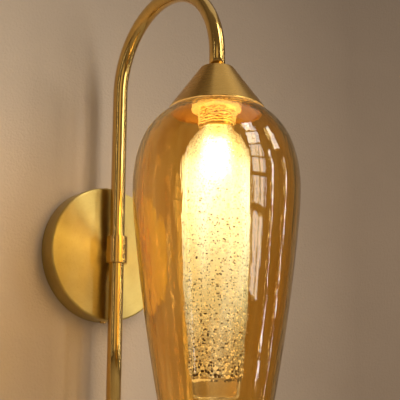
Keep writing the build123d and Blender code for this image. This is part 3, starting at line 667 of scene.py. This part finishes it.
# The next three carry painted lamplight: their glow stands in for the lamp's light on the lampholder, inside
# the cone, and on the thread and shade ring
HOLDER_BRASS_PAINTED_GLOW = Brass(
    "holder_brass_painted_glow", light=(0.88, 0.62, 0.24), deep=(0.70, 0.44, 0.12), roughness=0.26, anisotropy=0.0,
    coat=0.0, glow=0.14)
DULL_BRASS_PAINTED_GLOW = Brass(
    "dull_brass_painted_glow", light=(0.84, 0.60, 0.26), deep=(0.66, 0.42, 0.13), roughness=0.6, anisotropy=0.0,
    coat=0.0, glow=0.3)
PAINTED_LAMPLIT_BRASS = Brass(
    "painted_lamplit_brass", light=(0.90, 0.66, 0.26), deep=(0.66, 0.40, 0.09), roughness=0.26, anisotropy=0.0,
    coat=0.0, glow=1.5)
AMBER = AmberGlass("amber_glass")
AMBER_INSIDE = AmberGlass("amber_glass_inside", inside=True)
BUBBLED_PAINTED_GLOW = BubbleGlass("bubble_glass")
BUBBLED_INSIDE_PAINTED_GLOW = BubbleGlass("bubble_glass_inside", frost=0.66)
# Shaded and lit copies of the bubble finish: the second puts its painted highlight over most of each bubble
BUBBLES = Bubbles("air_bubbles")
PAINTED_LIT_BUBBLES = Bubbles("painted_lit_air_bubbles", edge=0.8)
LAMP_LIT = LampGlow("lamp_lit")
ZINC = Plain("zinc_steel", (0.66, 0.67, 0.69), (0.46, 0.47, 0.50), 0.34, 1.0, 180.0)
NICKEL = Plain("nickel", (0.74, 0.71, 0.64), (0.55, 0.52, 0.46), 0.26, 1.0, 240.0)
SPRING = Plain("spring_steel", (0.50, 0.50, 0.52), (0.32, 0.32, 0.34), 0.3, 1.0, 400.0)
CERAMIC = Plain("ceramic", (0.92, 0.90, 0.85), (0.80, 0.77, 0.70), 0.55, 0.0, 420.0, 0.12)
PLASTIC = Plain("white_plastic", (0.88, 0.88, 0.86), (0.78, 0.78, 0.75), 0.42, 0.0, 300.0, 0.08)
SILICONE = Plain("silicone", (0.84, 0.82, 0.76), (0.72, 0.69, 0.62), 0.5, 0.0, 220.0)
LIVE_COVER = Plain("brown_cover", (0.26, 0.12, 0.05), (0.17, 0.07, 0.03), 0.45, 0.0, 500.0)
NEUTRAL_COVER = Plain("blue_cover", (0.05, 0.17, 0.50), (0.03, 0.10, 0.34), 0.45, 0.0, 500.0)
EARTH_COVER = Plain(
    "earth_cover", (0.16, 0.42, 0.08), (0.10, 0.30, 0.05), 0.45, 0.0, 500.0, stripe=(0.80, 0.66, 0.05))
BOARD = Plain("phosphor_board", (0.95, 0.84, 0.45), (0.85, 0.70, 0.30), 0.5, 0.0, 600.0, glow=6.0)
WALL_PAINT = Plaster("wall_paint")
FLOOR_PAINT = Plaster("floor_paint", (0.62, 0.58, 0.52), (0.58, 0.54, 0.48))


# Shaping tools


class Outline:
    """A chain of edges in a lathe's half plane, drawn with straight runs and arcs, then turned."""

    def __init__(self, r: float, z: float) -> None:
        """Starts at a radius and a height, in millimetres."""
        self.bm = bmesh.new()
        self.tip = self.bm.verts.new((r * MM, 0, z * MM))
        self.start = Vector((r, z))
        self.spot = Vector((r, z))
        self.heading = Vector((1.0, 0.0))
        self.steps_made: list[tuple] = []

    def run(self, r: float, z: float) -> "Outline":
        """Draws a straight run to a radius and height."""
        target = Vector((r, z))
        made = bmesh.ops.extrude_vert_indiv(self.bm, verts=[self.tip])
        self.tip = made["verts"][0]
        self.tip.co = (r * MM, 0, z * MM)
        self.heading = (target - self.spot).normalized()
        self.steps_made.append(("run", target - self.spot))
        self.spot = target
        return self

    def swing(self, centre: Vector, angle: float, steps: int) -> "Outline":
        """Draws an arc round a centre by an angle, clockwise as seen with the radius to the right."""
        made = bmesh.ops.spin(
            self.bm, geom=[self.tip], cent=(centre.x * MM, 0, centre.y * MM), axis=(0, 1, 0),
            angle=angle, steps=steps, use_merge=False, use_duplicate=False)
        self.tip = next(v for v in made["geom_last"] if isinstance(v, bmesh.types.BMVert))
        turn = Matrix.Rotation(-angle, 2)
        self.spot = centre + turn @ (self.spot - centre)
        self.heading = turn @ self.heading
        self.steps_made.append(("arc", centre, angle, steps))
        return self

    def bend(self, r: float, z: float, steps: int) -> "Outline":
        """Draws an arc that goes on from the present heading to a radius and height."""
        span = Vector((r, z)) - self.spot
        side = Vector((self.heading.y, -self.heading.x))
        radius = span.dot(span) / (2 * span.dot(side))
        angle = 2 * math.atan2(span.dot(side), span.dot(self.heading))
        return self.swing(self.spot + side * radius, angle, steps)

    def corner(self, radius: float, degrees: float, steps: int = 6) -> "Outline":
        """Rounds a corner on the spot, to the right for a positive turn."""
        side = Vector((self.heading.y, -self.heading.x))
        centre = self.spot + side * math.copysign(radius, degrees)
        return self.swing(centre, math.radians(degrees), steps)

    def face(self, degrees_down: float) -> "Outline":
        """Sets the heading, as an angle below the outward direction."""
        angle = math.radians(degrees_down)
        self.heading = Vector((math.cos(angle), -math.sin(angle)))
        return self

    def retrace(self, since: int) -> "Outline":
        """Runs back along all steps since a number, at the distance that the tip has from them now."""
        for step in reversed(self.steps_made[since:len(self.steps_made) - 1]):
            if step[0] == "run":
                self.run(*(self.spot - step[1]))
            else:
                self.swing(step[1], -step[2], step[3])
        return self

    def turn(self, name: str, lathe: Lathe, steps: int = 128, closed: bool = True) -> Thing:
        """Turns the outline into a piece of so many facets; if closed, its ends are joined first."""
        bm = self.bm
        if closed:
            self.run(*self.start)
        bmesh.ops.remove_doubles(bm, verts=bm.verts, dist=SAME_SPOT)
        geom = list(bm.verts) + list(bm.edges)
        bmesh.ops.spin(
            bm, geom=geom, cent=ORIGIN, axis=(0, 0, 1), angle=math.tau, steps=steps, use_merge=True)
        if lathe is Lathe.WALL:
            tip_over = Matrix.Rotation(math.pi / 2, 3, "X")
            bmesh.ops.rotate(bm, verts=bm.verts, cent=ORIGIN, matrix=tip_over)
        else:
            y = LAMP_Y if lathe is Lathe.LAMP else STEM_Y
            bmesh.ops.translate(bm, verts=bm.verts, vec=(0, y * MM, 0))
        return piece_from(name, bm)


def object_from(name: str, bm: Shape) -> Thing:
    """Makes an object of a bmesh, which is freed, and links it to the scene."""
    mesh = bpy.data.meshes.new(name)
    bm.to_mesh(mesh)
    bm.free()
    thing = bpy.data.objects.new(name, mesh)
    bpy.context.scene.collection.objects.link(thing)
    return thing


def piece_from(name: str, bm: Shape, sharp: float = SHARP) -> Thing:
    """Makes a piece of a bmesh, smooth but for edges that bend more than so many degrees."""
    bmesh.ops.remove_doubles(bm, verts=bm.verts, dist=SAME_SPOT)
    bmesh.ops.recalc_face_normals(bm, faces=bm.faces)
    thing = object_from(name, bm)
    thing.data.shade_smooth()
    thing.data.set_sharp_from_angle(angle=math.radians(sharp))
    return thing


def settle(thing: Thing, material: Material, body: str, slot: str, *nodes: str) -> Thing:
    """Dresses a piece, ties it to its body and hides the nodes that it stands for."""
    thing.data.materials.append(material)
    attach(thing, body)
    if nodes:
        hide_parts(*nodes)
    LOG.info("piece %s rides on %s", thing.name, body)
    return thing


def steady(thing: Thing) -> Thing:
    """Lets large faces rule the shading at their edges, so that flats stay flat."""
    change = thing.modifiers.new("steady_normals", "WEIGHTED_NORMAL")
    change.keep_sharp = True
    return thing


# Sub-assemblies


@dataclass
class WallPlate:
    """The round brass plate on the wall."""

    shelf: FinishShelf
    radius: float = 55.0
    depth: float = 16.5
    wall: float = 1.2
    edge: float = 1.8
    rim_edge: float = 0.25
    hole: float = 3.95

    def build(self) -> None:
        """Turns the shallow cup and dresses it."""
        outline = Outline(self.hole, self.depth).run(self.radius - self.edge, self.depth)
        outline.corner(self.edge, 90.0, 10).run(self.radius, self.rim_edge).corner(self.rim_edge, 90.0, 3)
        outline.run(self.radius - self.wall, 0).run(self.radius - self.wall, self.depth - self.edge)
        outline.corner(self.edge - self.wall, -90.0, 6).run(self.hole, self.depth - self.wall)
        plate = outline.turn("wall_plate", Lathe.WALL, 160)
        settle(steady(plate), self.shelf.get(PLATE_BRASS), "fixture", "brushed_brass", "canopy")


@dataclass
class Arm:
    """The stem with its gooseneck, and the collar that carries it."""

    shelf: FinishShelf
    tube_r: float = 6.0
    tube_wall: float = 1.0
    arch_r: float = 65.5
    arch_z: float = 133.7
    low: float = -134.0
    stem_runs: int = 4
    drop: float = 11.9
    collar_r: float = 8.55
    collar_bore: float = 6.05
    collar_low: float = -9.4
    collar_high: float = 12.8
    collar_edge: float = 0.6

    def build(self) -> None:
        """Builds tube and collar."""
        settle(self.tube(), self.shelf.get(STEM_BRASS), "fixture", "satin_brass", "arm_tube")
        settle(steady(self.collar()), self.shelf.get(COLLAR_BRASS), "fixture", "satin_brass", "collar")

    def tube(self) -> Thing:
        """Draws the tube up, round the arch and down to the cone."""
        bm = bmesh.new()
        place = Matrix.Translation((0, STEM_Y * MM, self.low * MM))
        made = bmesh.ops.create_circle(bm, segments=48, radius=self.tube_r * MM, matrix=place)
        rim = list({e for v in made["verts"] for e in v.link_edges})
        for _ in range(self.stem_runs):
            rim = self._draw(bm, rim, (0, 0, (self.arch_z - self.low) / self.stem_runs * MM))
        centre = (0, (STEM_Y - self.arch_r) * MM, self.arch_z * MM)
        made = bmesh.ops.spin(
            bm, geom=rim, cent=centre, axis=(1, 0, 0), angle=math.pi, steps=72,
            use_merge=False, use_duplicate=False)
        rim = [e for e in made["geom_last"] if isinstance(e, bmesh.types.BMEdge)]
        self._draw(bm, rim, (0, 0, -self.drop * MM))
        tube = piece_from("gooseneck_tube", bm)
        wall = tube.modifiers.new("tube_wall", "SOLIDIFY")
        wall.thickness = self.tube_wall * MM
        wall.offset = -1.0
        return tube

    @staticmethod
    def _draw(bm: Shape, rim: list, move: tuple) -> list:
        """Extrudes a ring of edges, moves it and returns the new ring."""
        made = bmesh.ops.extrude_edge_only(bm, edges=rim)["geom"]
        verts = [g for g in made if isinstance(g, bmesh.types.BMVert)]
        bmesh.ops.translate(bm, verts=verts, vec=move)
        edges = [g for g in made if isinstance(g, bmesh.types.BMEdge)]
        return [e for e in edges if all(v in verts for v in e.verts)]

    def collar(self) -> Thing:
        """Turns the sleeve with its rounded edges."""
        edge = self.collar_edge
        outline = Outline(self.collar_bore, self.collar_high).run(self.collar_r - edge, self.collar_high)
        outline.corner(edge, 90.0).run(self.collar_r, self.collar_low + edge).corner(edge, 90.0)
        outline.run(self.collar_bore, self.collar_low)
        return outline.turn("stem_collar", Lathe.STEM, 96)


@dataclass
class Cone:
    """The spun brass cone over the lampholder."""

    shelf: FinishShelf
    top: float = 121.8
    rim: float = 89.2
    top_r: float = 12.5
    rim_r: float = 35.8
    shoulder: float = 1.0
    hole: float = 5.0
    wall: float = 1.2
    lip: float = 0.7
    lip_set: float = 0.05
    lip_bend: float = 0.3
    lip_edge: float = 0.15
    faces_down: float = -0.2

    def build(self) -> None:
        """Turns the cone with its rounded shoulder and rolled lip."""
        slope = (self.rim_r - self.top_r) / (self.top - self.rim - self.lip)
        lean = math.degrees(math.atan(1 / slope))
        across = self.wall * math.hypot(1, slope)
        reach = self.shoulder * math.tan(math.radians(lean / 2))
        outline = Outline(self.hole, self.top).run(self.top_r - reach, self.top)
        outline.corner(self.shoulder, lean)
        outline.run(self.rim_r - self.lip_set, self.rim + self.lip).corner(self.lip_bend, 90.0 - lean, 4)
        outline.run(outline.spot.x, self.rim + self.lip_edge).corner(self.lip_edge, 90.0, 4)
        outline.run(self.rim_r - across, self.rim).run(self.rim_r - across, self.rim + self.lip)
        outline.run(self.top_r + slope * self.wall - across, self.top - self.wall)
        outline.run(self.hole, self.top - self.wall)
        cone = outline.turn("brass_cone", Lathe.LAMP, 144)
        settle(steady(cone), self.shelf.get(CONE_BRASS), "fixture", "brushed_brass", "cone_cap")
        # Faces that look down, inside the cone, get dull brass whose glow is painted lamplight
        cone.data.materials.append(self.shelf.get(DULL_BRASS_PAINTED_GLOW))
        for face in cone.data.polygons:
            face.material_index = int(face.normal.z < self.faces_down)


@dataclass
class Lampholder:
    """The threaded sleeve under the cone."""

    shelf: FinishShelf
    sleeve_r: float = 14.0
    thread_depth: float = 0.75
    pitch: float = 2.0
    low: float = 74.7
    flange_low: float = 96.4
    flange_top: float = 98.4
    flange_r: float = 18.5
    neck_r: float = 12.0
    neck_top: float = 103.1
    mouth_r: float = 11.6
    seat_low: float = 88.4
    seat_top: float = 90.1
    seat_r: float = 9.5
    insert_r: float = 11.05
    flange_edge: float = 0.3
    plain_top: float = 1.4
    bevel_top: float = 1.0
    bevel: float = 0.4
    end_inset: float = 0.5
    thread_start: float = 1.8
    thread_stop: float = 1.0
    thread_sunk: float = 0.1
    foot_share: float = 0.29
    crest_drop: float = 0.12
    crest_half: float = 0.18
    thread_steps: int = 64
    thread_sharp: float = 70.0

    def build(self) -> None:
        """Turns the sleeve, winds its thread and ties both to the fixture."""
        core = self.sleeve_r - self.thread_depth
        edge = self.flange_edge
        outline = Outline(self.insert_r, self.neck_top).run(self.neck_r, self.neck_top)
        outline.run(self.neck_r, self.flange_top).run(self.flange_r - edge, self.flange_top)
        outline.corner(edge, 90.0, 3).run(self.flange_r, self.flange_low + edge).corner(edge, 90.0, 3)
        outline.run(core, self.flange_low).run(core, self.low + self.plain_top)
        outline.run(self.sleeve_r - self.bevel, self.low + self.bevel_top)
        outline.face(90).corner(self.bevel, 60.0, 4).run(self.sleeve_r - self.end_inset, self.low)
        outline.run(self.mouth_r, self.low).run(self.mouth_r, self.seat_low).run(self.seat_r, self.seat_low)
        outline.run(self.seat_r, self.seat_top).run(self.insert_r, self.seat_top)
        sleeve = outline.turn("lampholder_sleeve", Lathe.LAMP, 96)
        # Sleeve and thread glow with painted lamplight, the thread most
        settle(sleeve, self.shelf.get(HOLDER_BRASS_PAINTED_GLOW), "fixture", "plain_brass", "lampholder_skirt")
        settle(self.thread(), self.shelf.get(PAINTED_LAMPLIT_BRASS), "fixture", "plain_brass")

    def thread(self) -> Thing:
        """Winds one ridge of the thread up the sleeve."""
        turns = (self.flange_low - self.thread_stop - self.low - self.thread_start) / self.pitch
        core = self.sleeve_r - self.thread_depth - self.thread_sunk
        half = self.pitch * self.foot_share
        base = self.low + self.thread_start
        crest = self.sleeve_r - self.crest_drop
        outline = Outline(core, base - half).run(crest, base - self.crest_half).run(self.sleeve_r, base)
        outline.run(crest, base + self.crest_half).run(core, base + half)
        bm = outline.bm
        geom = list(bm.verts) + list(bm.edges)
        rise = self.pitch * MM / self.thread_steps
        bmesh.ops.spin(
            bm, geom=geom, cent=ORIGIN, axis=(0, 0, 1), dvec=(0, 0, rise), angle=math.tau * turns,
            steps=int(self.thread_steps * turns), use_merge=False, use_duplicate=False)
        bmesh.ops.translate(bm, verts=bm.verts, vec=(0, LAMP_Y * MM, 0))
        return piece_from("lampholder_thread", bm, self.thread_sharp)


@dataclass
class AmberShade:
    """The tall amber glass, open at the bottom."""

    shelf: FinishShelf
    hole: float = 15.5
    top: float = 95.5
    flat_r: float = 20.0
    top_slope: float = 18.0
    wall: float = 3.0
    under_cone: Point = (33.964, 89.2)
    shoulder: Point = (56.453, 61.554)
    belly: Point = (61.5, 31.1)
    waist: Point = (60.2316, 5.7635)
    mouth: Point = (38.2, -140.5)
    cap_z: float = 0.06
    cap_lean: float = 0.4

    def build(self) -> None:
        """Turns the shade, its inner wall and its rounded mouth, and marks the faces that look inwards."""
        outline = Outline(self.hole, self.top).run(self.flat_r, self.top).face(self.top_slope)
        first = len(outline.steps_made)
        outline.bend(*self.under_cone, 8).bend(*self.shoulder, 22).bend(*self.belly, 22)
        outline.bend(*self.waist, 16).bend(*self.mouth, 48)
        outline.corner(self.wall / 2, 180.0, 10).retrace(first)
        outline.run(self.hole, outline.spot.y)
        shade = outline.turn("amber_shade", Lathe.LAMP, 160)
        settle(shade, self.shelf.get(AMBER), "shade", "amber_glass", "outer_glass")
        shade.data.materials.append(self.shelf.get(AMBER_INSIDE))
        axis = Vector((0, LAMP_Y * MM, 0))
        for face in shade.data.polygons:
            outward = face.center - axis
            outward.z = 0.0
            upward = 1 if face.center.z > self.cap_z else 0
            lean = outward.normalized() * self.cap_lean + Vector((0, 0, upward))
            face.material_index = int(face.normal.dot(lean) < 0)


@dataclass
class BubbleBottle:
    """The bubbled bottle round the lamp, with its thick clear foot."""

    shelf: FinishShelf
    top: float = 77.4
    bead_r: float = 11.3
    bead_low: float = 76.4
    neck_r: float = 10.6
    neck_low: float = 75.4
    slope: float = 45.7
    shoulder: Point = (16.0024, 69.7741)
    belly: Point = (25.1, 46.9)
    waist: Point = (25.1, 12.9)
    foot: Point = (16.5, -119.6)
    low: float = -123.6
    wall: float = 2.6
    cup_r: float = 13.0
    floor: float = -109.6
    neck_wall: float = 1.1
    mouth_edge: float = 0.5
    inner_shoulder: Point = (1.80, 1.87)
    inner_foot: float = 2.65
    cup_rise: float = 0.93
    seeds: int = 2300
    batches: int = 50
    chance_seed: int = 41
    seed_low: float = -108.0
    seed_reach: float = 132.0
    seed_crowding: float = 1.35
    seed_jitter: float = 1.5
    seed_size: float = 0.50
    seed_growth: float = 0.35
    large_below: float = 0.05
    large_growth: float = 0.45
    seed_depth: float = 0.25
    seed_sunk: float = 0.10
    seed_tall: float = 1.08
    painted_lit_share: float = 0.35

    def build(self) -> None:
        """Turns the bottle and scatters its bubbles."""
        bottle = self.bottle()
        settle(bottle, self.shelf.get(BUBBLED_PAINTED_GLOW), "bottle", "bubble_glass", "diffuser")
        bottle.data.materials.append(self.shelf.get(BUBBLED_INSIDE_PAINTED_GLOW))
        bubbles = settle(self.bubbles(), self.shelf.get(BUBBLES), "bottle", "bubble_glass")
        bubbles.data.materials.append(self.shelf.get(PAINTED_LIT_BUBBLES))

    def bottle(self) -> Thing:
        """Turns the bottle from its mouth round its foot and back up inside."""
        bore = self.neck_r - self.neck_wall
        edge = self.mouth_edge
        outline = Outline(bore, self.top - edge).face(-90).corner(edge, 90.0, 4)
        outline.run(self.bead_r - edge, self.top).corner(edge, 90.0, 4)
        outline.run(self.bead_r, self.bead_low).run(self.neck_r, self.bead_low)
        outline.run(self.neck_r, self.neck_low).face(self.slope)
        outline.bend(*self.shoulder, 6).bend(*self.belly, 16).run(*self.waist).bend(*self.foot, 40)
        corner = self.foot[1] - self.low
        outline.face(90).corner(corner, 90.0, 8).run(0, self.low)
        outer = outline.turn("bubble_bottle_outside", Lathe.LAMP, 128, closed=False)
        inner = self._inside(bore)
        for face in inner.data.polygons:
            face.material_index = 1
        return join_shells("bubble_bottle", outer, inner)

    def _inside(self, bore: float) -> Thing:
        """Turns the inner wall, from the mouth down to the cup of its floor."""
        lean = math.radians(self.slope)
        start_r = self.neck_r - self.wall * math.sin(lean)
        start_z = self.neck_low - self.wall * math.cos(lean)
        outline = Outline(bore, self.top - self.mouth_edge)
        outline.run(bore, start_z - (bore - start_r) * math.tan(lean)).face(self.slope)
        outline.bend(self.shoulder[0] - self.inner_shoulder[0], self.shoulder[1] - self.inner_shoulder[1], 6)
        outline.bend(self.belly[0] - self.wall, self.belly[1], 16)
        outline.run(self.waist[0] - self.wall, self.waist[1])
        cup_top = self.floor + self.cup_r * self.cup_rise
        outline.bend(self.foot[0] + self.inner_foot - self.wall, cup_top, 36)
        lean = math.degrees(math.atan2(-outline.heading.y, outline.heading.x))
        outline.corner(self.cup_r, 180.0 - lean, 16).run(0, outline.spot.y)
        return outline.turn("bubble_bottle_inside", Lathe.LAMP, 128, closed=False)

    def outer_r(self, z: float) -> float:
        """The bottle's outside radius at a height below its belly."""
        if z >= self.waist[1]:
            return self.belly[0]
        share = (self.waist[1] - z) / (self.waist[1] - self.foot[1])
        return self.waist[0] - (self.waist[0] - self.foot[0]) * share * share

    def bubbles(self) -> Thing:
        """Scatters flat bubbles over the outer face, small above and large just over the foot."""
        chance = random.Random(self.chance_seed)
        whole = bmesh.new()
        for _ in range(self.batches):
            batch = bmesh.new()
            for _ in range(self.seeds // self.batches):
                self._bubble(batch, chance)
            mesh = bpy.data.meshes.new("bubble_batch")
            batch.to_mesh(mesh)
            batch.free()
            whole.from_mesh(mesh)
            bpy.data.meshes.remove(mesh)
        return piece_from("bottle_bubbles", whole, 180.0)

    def _bubble(self, bm: Shape, chance: random.Random) -> None:
        """Adds one bubble to a batch, its place and size drawn by chance."""
        up = chance.random() ** self.seed_crowding
        z = self.seed_low + self.seed_reach * up + chance.uniform(-self.seed_jitter, self.seed_jitter)
        size = self.seed_size + self.seed_growth * (1 - up) ** 2 * chance.random()
        if up < self.large_below:
            size += self.large_growth * chance.random()
        r = self.outer_r(z) - self.seed_sunk
        angle = chance.uniform(0, math.tau)
        spot = Vector((r * math.cos(angle), r * math.sin(angle) + LAMP_Y, z)) * MM
        shape = Matrix.Diagonal((self.seed_depth * MM, size * MM, size * self.seed_tall * MM, 1.0))
        place = Matrix.Translation(spot) @ Matrix.Rotation(angle, 4, "Z") @ shape
        made = bmesh.ops.create_uvsphere(bm, u_segments=8, v_segments=4, radius=1.0, matrix=place)
        # A share of the bubbles take the copy with more painted highlight
        if chance.random() < self.painted_lit_share:
            for face in {face for vert in made["verts"] for face in vert.link_faces}:
                face.material_index = 1


def join_shells(name: str, outer: Thing, inner: Thing) -> Thing:
    """Joins an outside and an inside that meet at one rim into one closed piece."""
    bm = bmesh.new()
    bm.from_mesh(outer.data)
    bm.from_mesh(inner.data)
    for old in (outer, inner):
        bpy.data.objects.remove(old)
    return piece_from(name, bm)


@dataclass
class CapsuleLamp:
    """The frosted glass of the two-pin lamp."""

    shelf: FinishShelf
    radius: float = 6.1
    top: float = 80.0
    tip: float = 38.0
    wall: float = 0.8

    def build(self) -> None:
        """Turns the capsule with its domed tip."""
        outline = Outline(0, self.tip).face(0).corner(self.radius, -90.0, 14).run(self.radius, self.top)
        outline.run(self.radius - self.wall, self.top).run(self.radius - self.wall, self.tip + self.radius)
        outline.face(90).corner(self.radius - self.wall, 90.0, 14)
        lamp = outline.turn("lamp_capsule", Lathe.LAMP, 64, closed=False)
        settle(lamp, self.shelf.get(LAMP_LIT), "lamp", "lamp_glass", "lamp_envelope")


# The brass finishes with painted glow stand in for the lamp's light on nipple, locknut, cap, earth screw and
# shade ring
KEPT_FINISHES: dict[str, Finish] = {
    "wall_bracket": ZINC, "canopy_screws": COLLAR_BRASS, "stem_spigot": COLLAR_BRASS, "spigot_washer": ZINC,
    "spigot_nut": ZINC, "wire_bush": PLASTIC, "stem_end_cap": COLLAR_BRASS, "terminal_block": PLASTIC,
    "terminal_screws": ZINC, "terminal_fixing_screw": ZINC, "earth_screw": HOLDER_BRASS_PAINTED_GLOW,
    "earth_terminal_bracket": NICKEL, "earth_terminal_spigot": NICKEL, "earth_wire": EARTH_COVER,
    "live_wire": LIVE_COVER, "neutral_wire": NEUTRAL_COVER, "lampholder_nipple": HOLDER_BRASS_PAINTED_GLOW,
    "nipple_washer": ZINC, "nipple_locknut": HOLDER_BRASS_PAINTED_GLOW, "lampholder_cap": HOLDER_BRASS_PAINTED_GLOW,
    "lampholder_insert": CERAMIC, "socket_contacts": NICKEL, "shade_gasket": SILICONE,
    "shade_ring": PAINTED_LAMPLIT_BRASS, "diffuser_spring_ring": SPRING, "lamp_base": CERAMIC, "lamp_pins": NICKEL,
    "lamp_led_board": BOARD,
}


@dataclass
class KeptParts:
    """The parts whose own shape is right: they only get a finish and smooth shading."""

    shelf: FinishShelf
    nodes: dict[str, Thing]

    def build(self) -> None:
        """Dresses each part."""
        for name, finish in KEPT_FINISHES.items():
            self.dress(self.nodes[name], finish)
            LOG.info("node %s is %s", name, finish.name)

    def dress(self, node: Thing, finish: Finish) -> None:
        """Gives a node its material, joined facets and edges that stay crisp."""
        node.data.materials.clear()
        node.data.materials.append(self.shelf.get(finish))
        weld = node.modifiers.new("join_facets", "WELD")
        weld.merge_threshold = SAME_FACET
        crisp = node.modifiers.new("crisp_edges", "EDGE_SPLIT")
        crisp.split_angle = math.radians(SHARP)
        steady(node)


# Studio


def direction(azimuth: float, elevation: float) -> Vector:
    """Points from the wall light out into the room; both angles are in degrees."""
    az, el = math.radians(azimuth), math.radians(elevation)
    return Vector((math.sin(az) * math.cos(el), -math.cos(az) * math.cos(el), math.sin(el)))


@dataclass(frozen=True)
class SoftLight:
    """A soft box that looks at the light from a direction."""

    name: str
    azimuth: float
    elevation: float
    distance: float
    width: float
    height: float
    power: float
    colour: Colour = (1.0, 0.95, 0.88)

    def hang(self, target: Vector) -> None:
        """Hangs the soft box and aims it."""
        out = direction(self.azimuth, self.elevation)
        lamp = bpy.data.lights.new(self.name, "AREA")
        lamp.shape = "RECTANGLE"
        lamp.size, lamp.size_y = self.width, self.height
        lamp.energy = self.power
        lamp.color = self.colour
        thing = bpy.data.objects.new(self.name, lamp)
        thing.location = target + out * self.distance
        thing.rotation_euler = out.to_track_quat("Z", "Y").to_euler()
        bpy.context.scene.collection.objects.link(thing)


@dataclass
class Studio:
    """Wall, floor, lights and camera."""

    shelf: FinishShelf
    target: Triple = (0.0, -117.6, 19.6)
    lit_spot: Triple = (0.0, -0.10, 0.02)
    azimuth: float = -37.44
    elevation: float = -12.89
    roll: float = 0.40
    distance: float = 882.0
    slide: Point = (-12.064, -7.673)
    lens: float = 104.725
    lights: tuple[SoftLight, ...] = (
        SoftLight("tall_window", 41.0, 6.0, 1.6, 0.03, 1.3, 2.4),
        SoftLight("thin_window", 66.0, 0.0, 1.6, 0.03, 1.5, 1.8),
        SoftLight("side_window", 56.0, 36.0, 1.6, 0.22, 0.45, 2.4),
        SoftLight("left_strip", -76.0, 6.0, 1.3, 0.05, 1.2, 0.8),
        SoftLight("room", -36.0, 6.0, 1.7, 0.7, 1.3, 2.2, (1.0, 0.82, 0.52)),
        SoftLight("ceiling", 60.0, 76.0, 1.5, 1.1, 1.1, 1.7),
        SoftLight("behind", 150.0, 20.0, 1.5, 0.8, 0.8, 2.0),
    )

    def build(self) -> None:
        """Sets up the room."""
        self.wall()
        for light in (*self.lights, *self.panes()):
            light.hang(Vector(self.lit_spot))
        self.room_light()
        self.camera()

    def panes(self) -> list[SoftLight]:
        """The main window: two columns of panes, with glazing bars between them."""
        columns = (14.6, 23.4)
        rows = ((-3.6, 1.2), (6.8, 1.2), (17.2, 1.2), (27.6, 1.2), (38.0, 1.7), (48.4, 1.7))
        return [
            SoftLight("pane", side, height, 1.7, 0.20, 0.27, power)
            for side in columns
            for height, power in rows
        ]

    def wall(self) -> None:
        """Stands the wall behind the plate and lays a pale floor far below."""
        upright = Matrix.Translation((0, 0.0006, -0.5)) @ Matrix.Rotation(math.pi / 2, 4, "X")
        self._plane("room_wall", WALL_PAINT, 1.1, upright @ Matrix.Diagonal((2, 1, 1, 1)))
        self._plane("room_floor", FLOOR_PAINT, 2.0, Matrix.Translation((0, -1.9, -0.9)))

    def _plane(self, name: str, finish: Finish, size: float, place: Matrix) -> None:
        """Sets up a plane of the room, which shades nothing."""
        bm = bmesh.new()
        bmesh.ops.create_grid(bm, x_segments=4, y_segments=4, size=size, matrix=place)
        plane = object_from(name, bm)
        plane.data.materials.append(self.shelf.get(finish))
        plane.visible_shadow = False

    def room_light(self) -> None:
        """Fills the room with dim warm light."""
        world = bpy.data.worlds.new("room")
        world.use_nodes = True
        wires = Wiring(world.node_tree)
        glow = world.node_tree.nodes["Background"]
        up = wires.height(wires.add("ShaderNodeTexCoord").outputs["Generated"])
        stops = [(0.0, (0.10, 0.06, 0.03)), (0.5, (0.22, 0.15, 0.09)), (1.0, (0.40, 0.31, 0.22))]
        sky = wires.ramp(wires.span(up, -0.6, 0.9), stops)
        wires.tree.links.new(sky, glow.inputs[0])
        glow.inputs[1].default_value = 0.45
        bpy.context.scene.world = world

    def camera(self) -> None:
        """Stands the camera where the photograph was taken from."""
        az, roll = math.radians(self.azimuth), math.radians(self.roll)
        back = direction(self.azimuth, self.elevation)
        right = Vector((math.cos(az), math.sin(az), 0.0))
        up = back.cross(right)
        across = math.cos(roll) * right + math.sin(roll) * up
        upward = math.cos(roll) * up - math.sin(roll) * right
        spot = Vector(self.target) + back * self.distance
        spot -= across * self.slide[0] + upward * self.slide[1]
        view = bpy.data.cameras.new("photo_view")
        view.lens = self.lens
        view.sensor_width = 36.0
        view.sensor_fit = "HORIZONTAL"
        view.clip_start, view.clip_end = 0.05, 20.0
        thing = bpy.data.objects.new("photo_view", view)
        frame = Matrix((across, upward, back)).transposed().to_4x4()
        frame.translation = spot * MM
        thing.matrix_world = frame
        bpy.context.scene.collection.objects.link(thing)
        bpy.context.scene.camera = thing
        bpy.context.scene.view_settings.view_transform = "Standard"


def main() -> None:
    """Loads the frame, builds every sub-assembly and the studio."""
    logging.basicConfig(level=logging.INFO, format="%(name)s: %(message)s")
    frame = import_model()
    shelf = FinishShelf()
    KeptParts(shelf, frame["nodes"]).build()
    for assembly in (WallPlate, Arm, Cone, Lampholder, AmberShade, BubbleBottle, CapsuleLamp):
        assembly(shelf).build()
    Studio(shelf).build()
    bpy.context.view_layer.update()


if __name__ == "__main__":
    main()
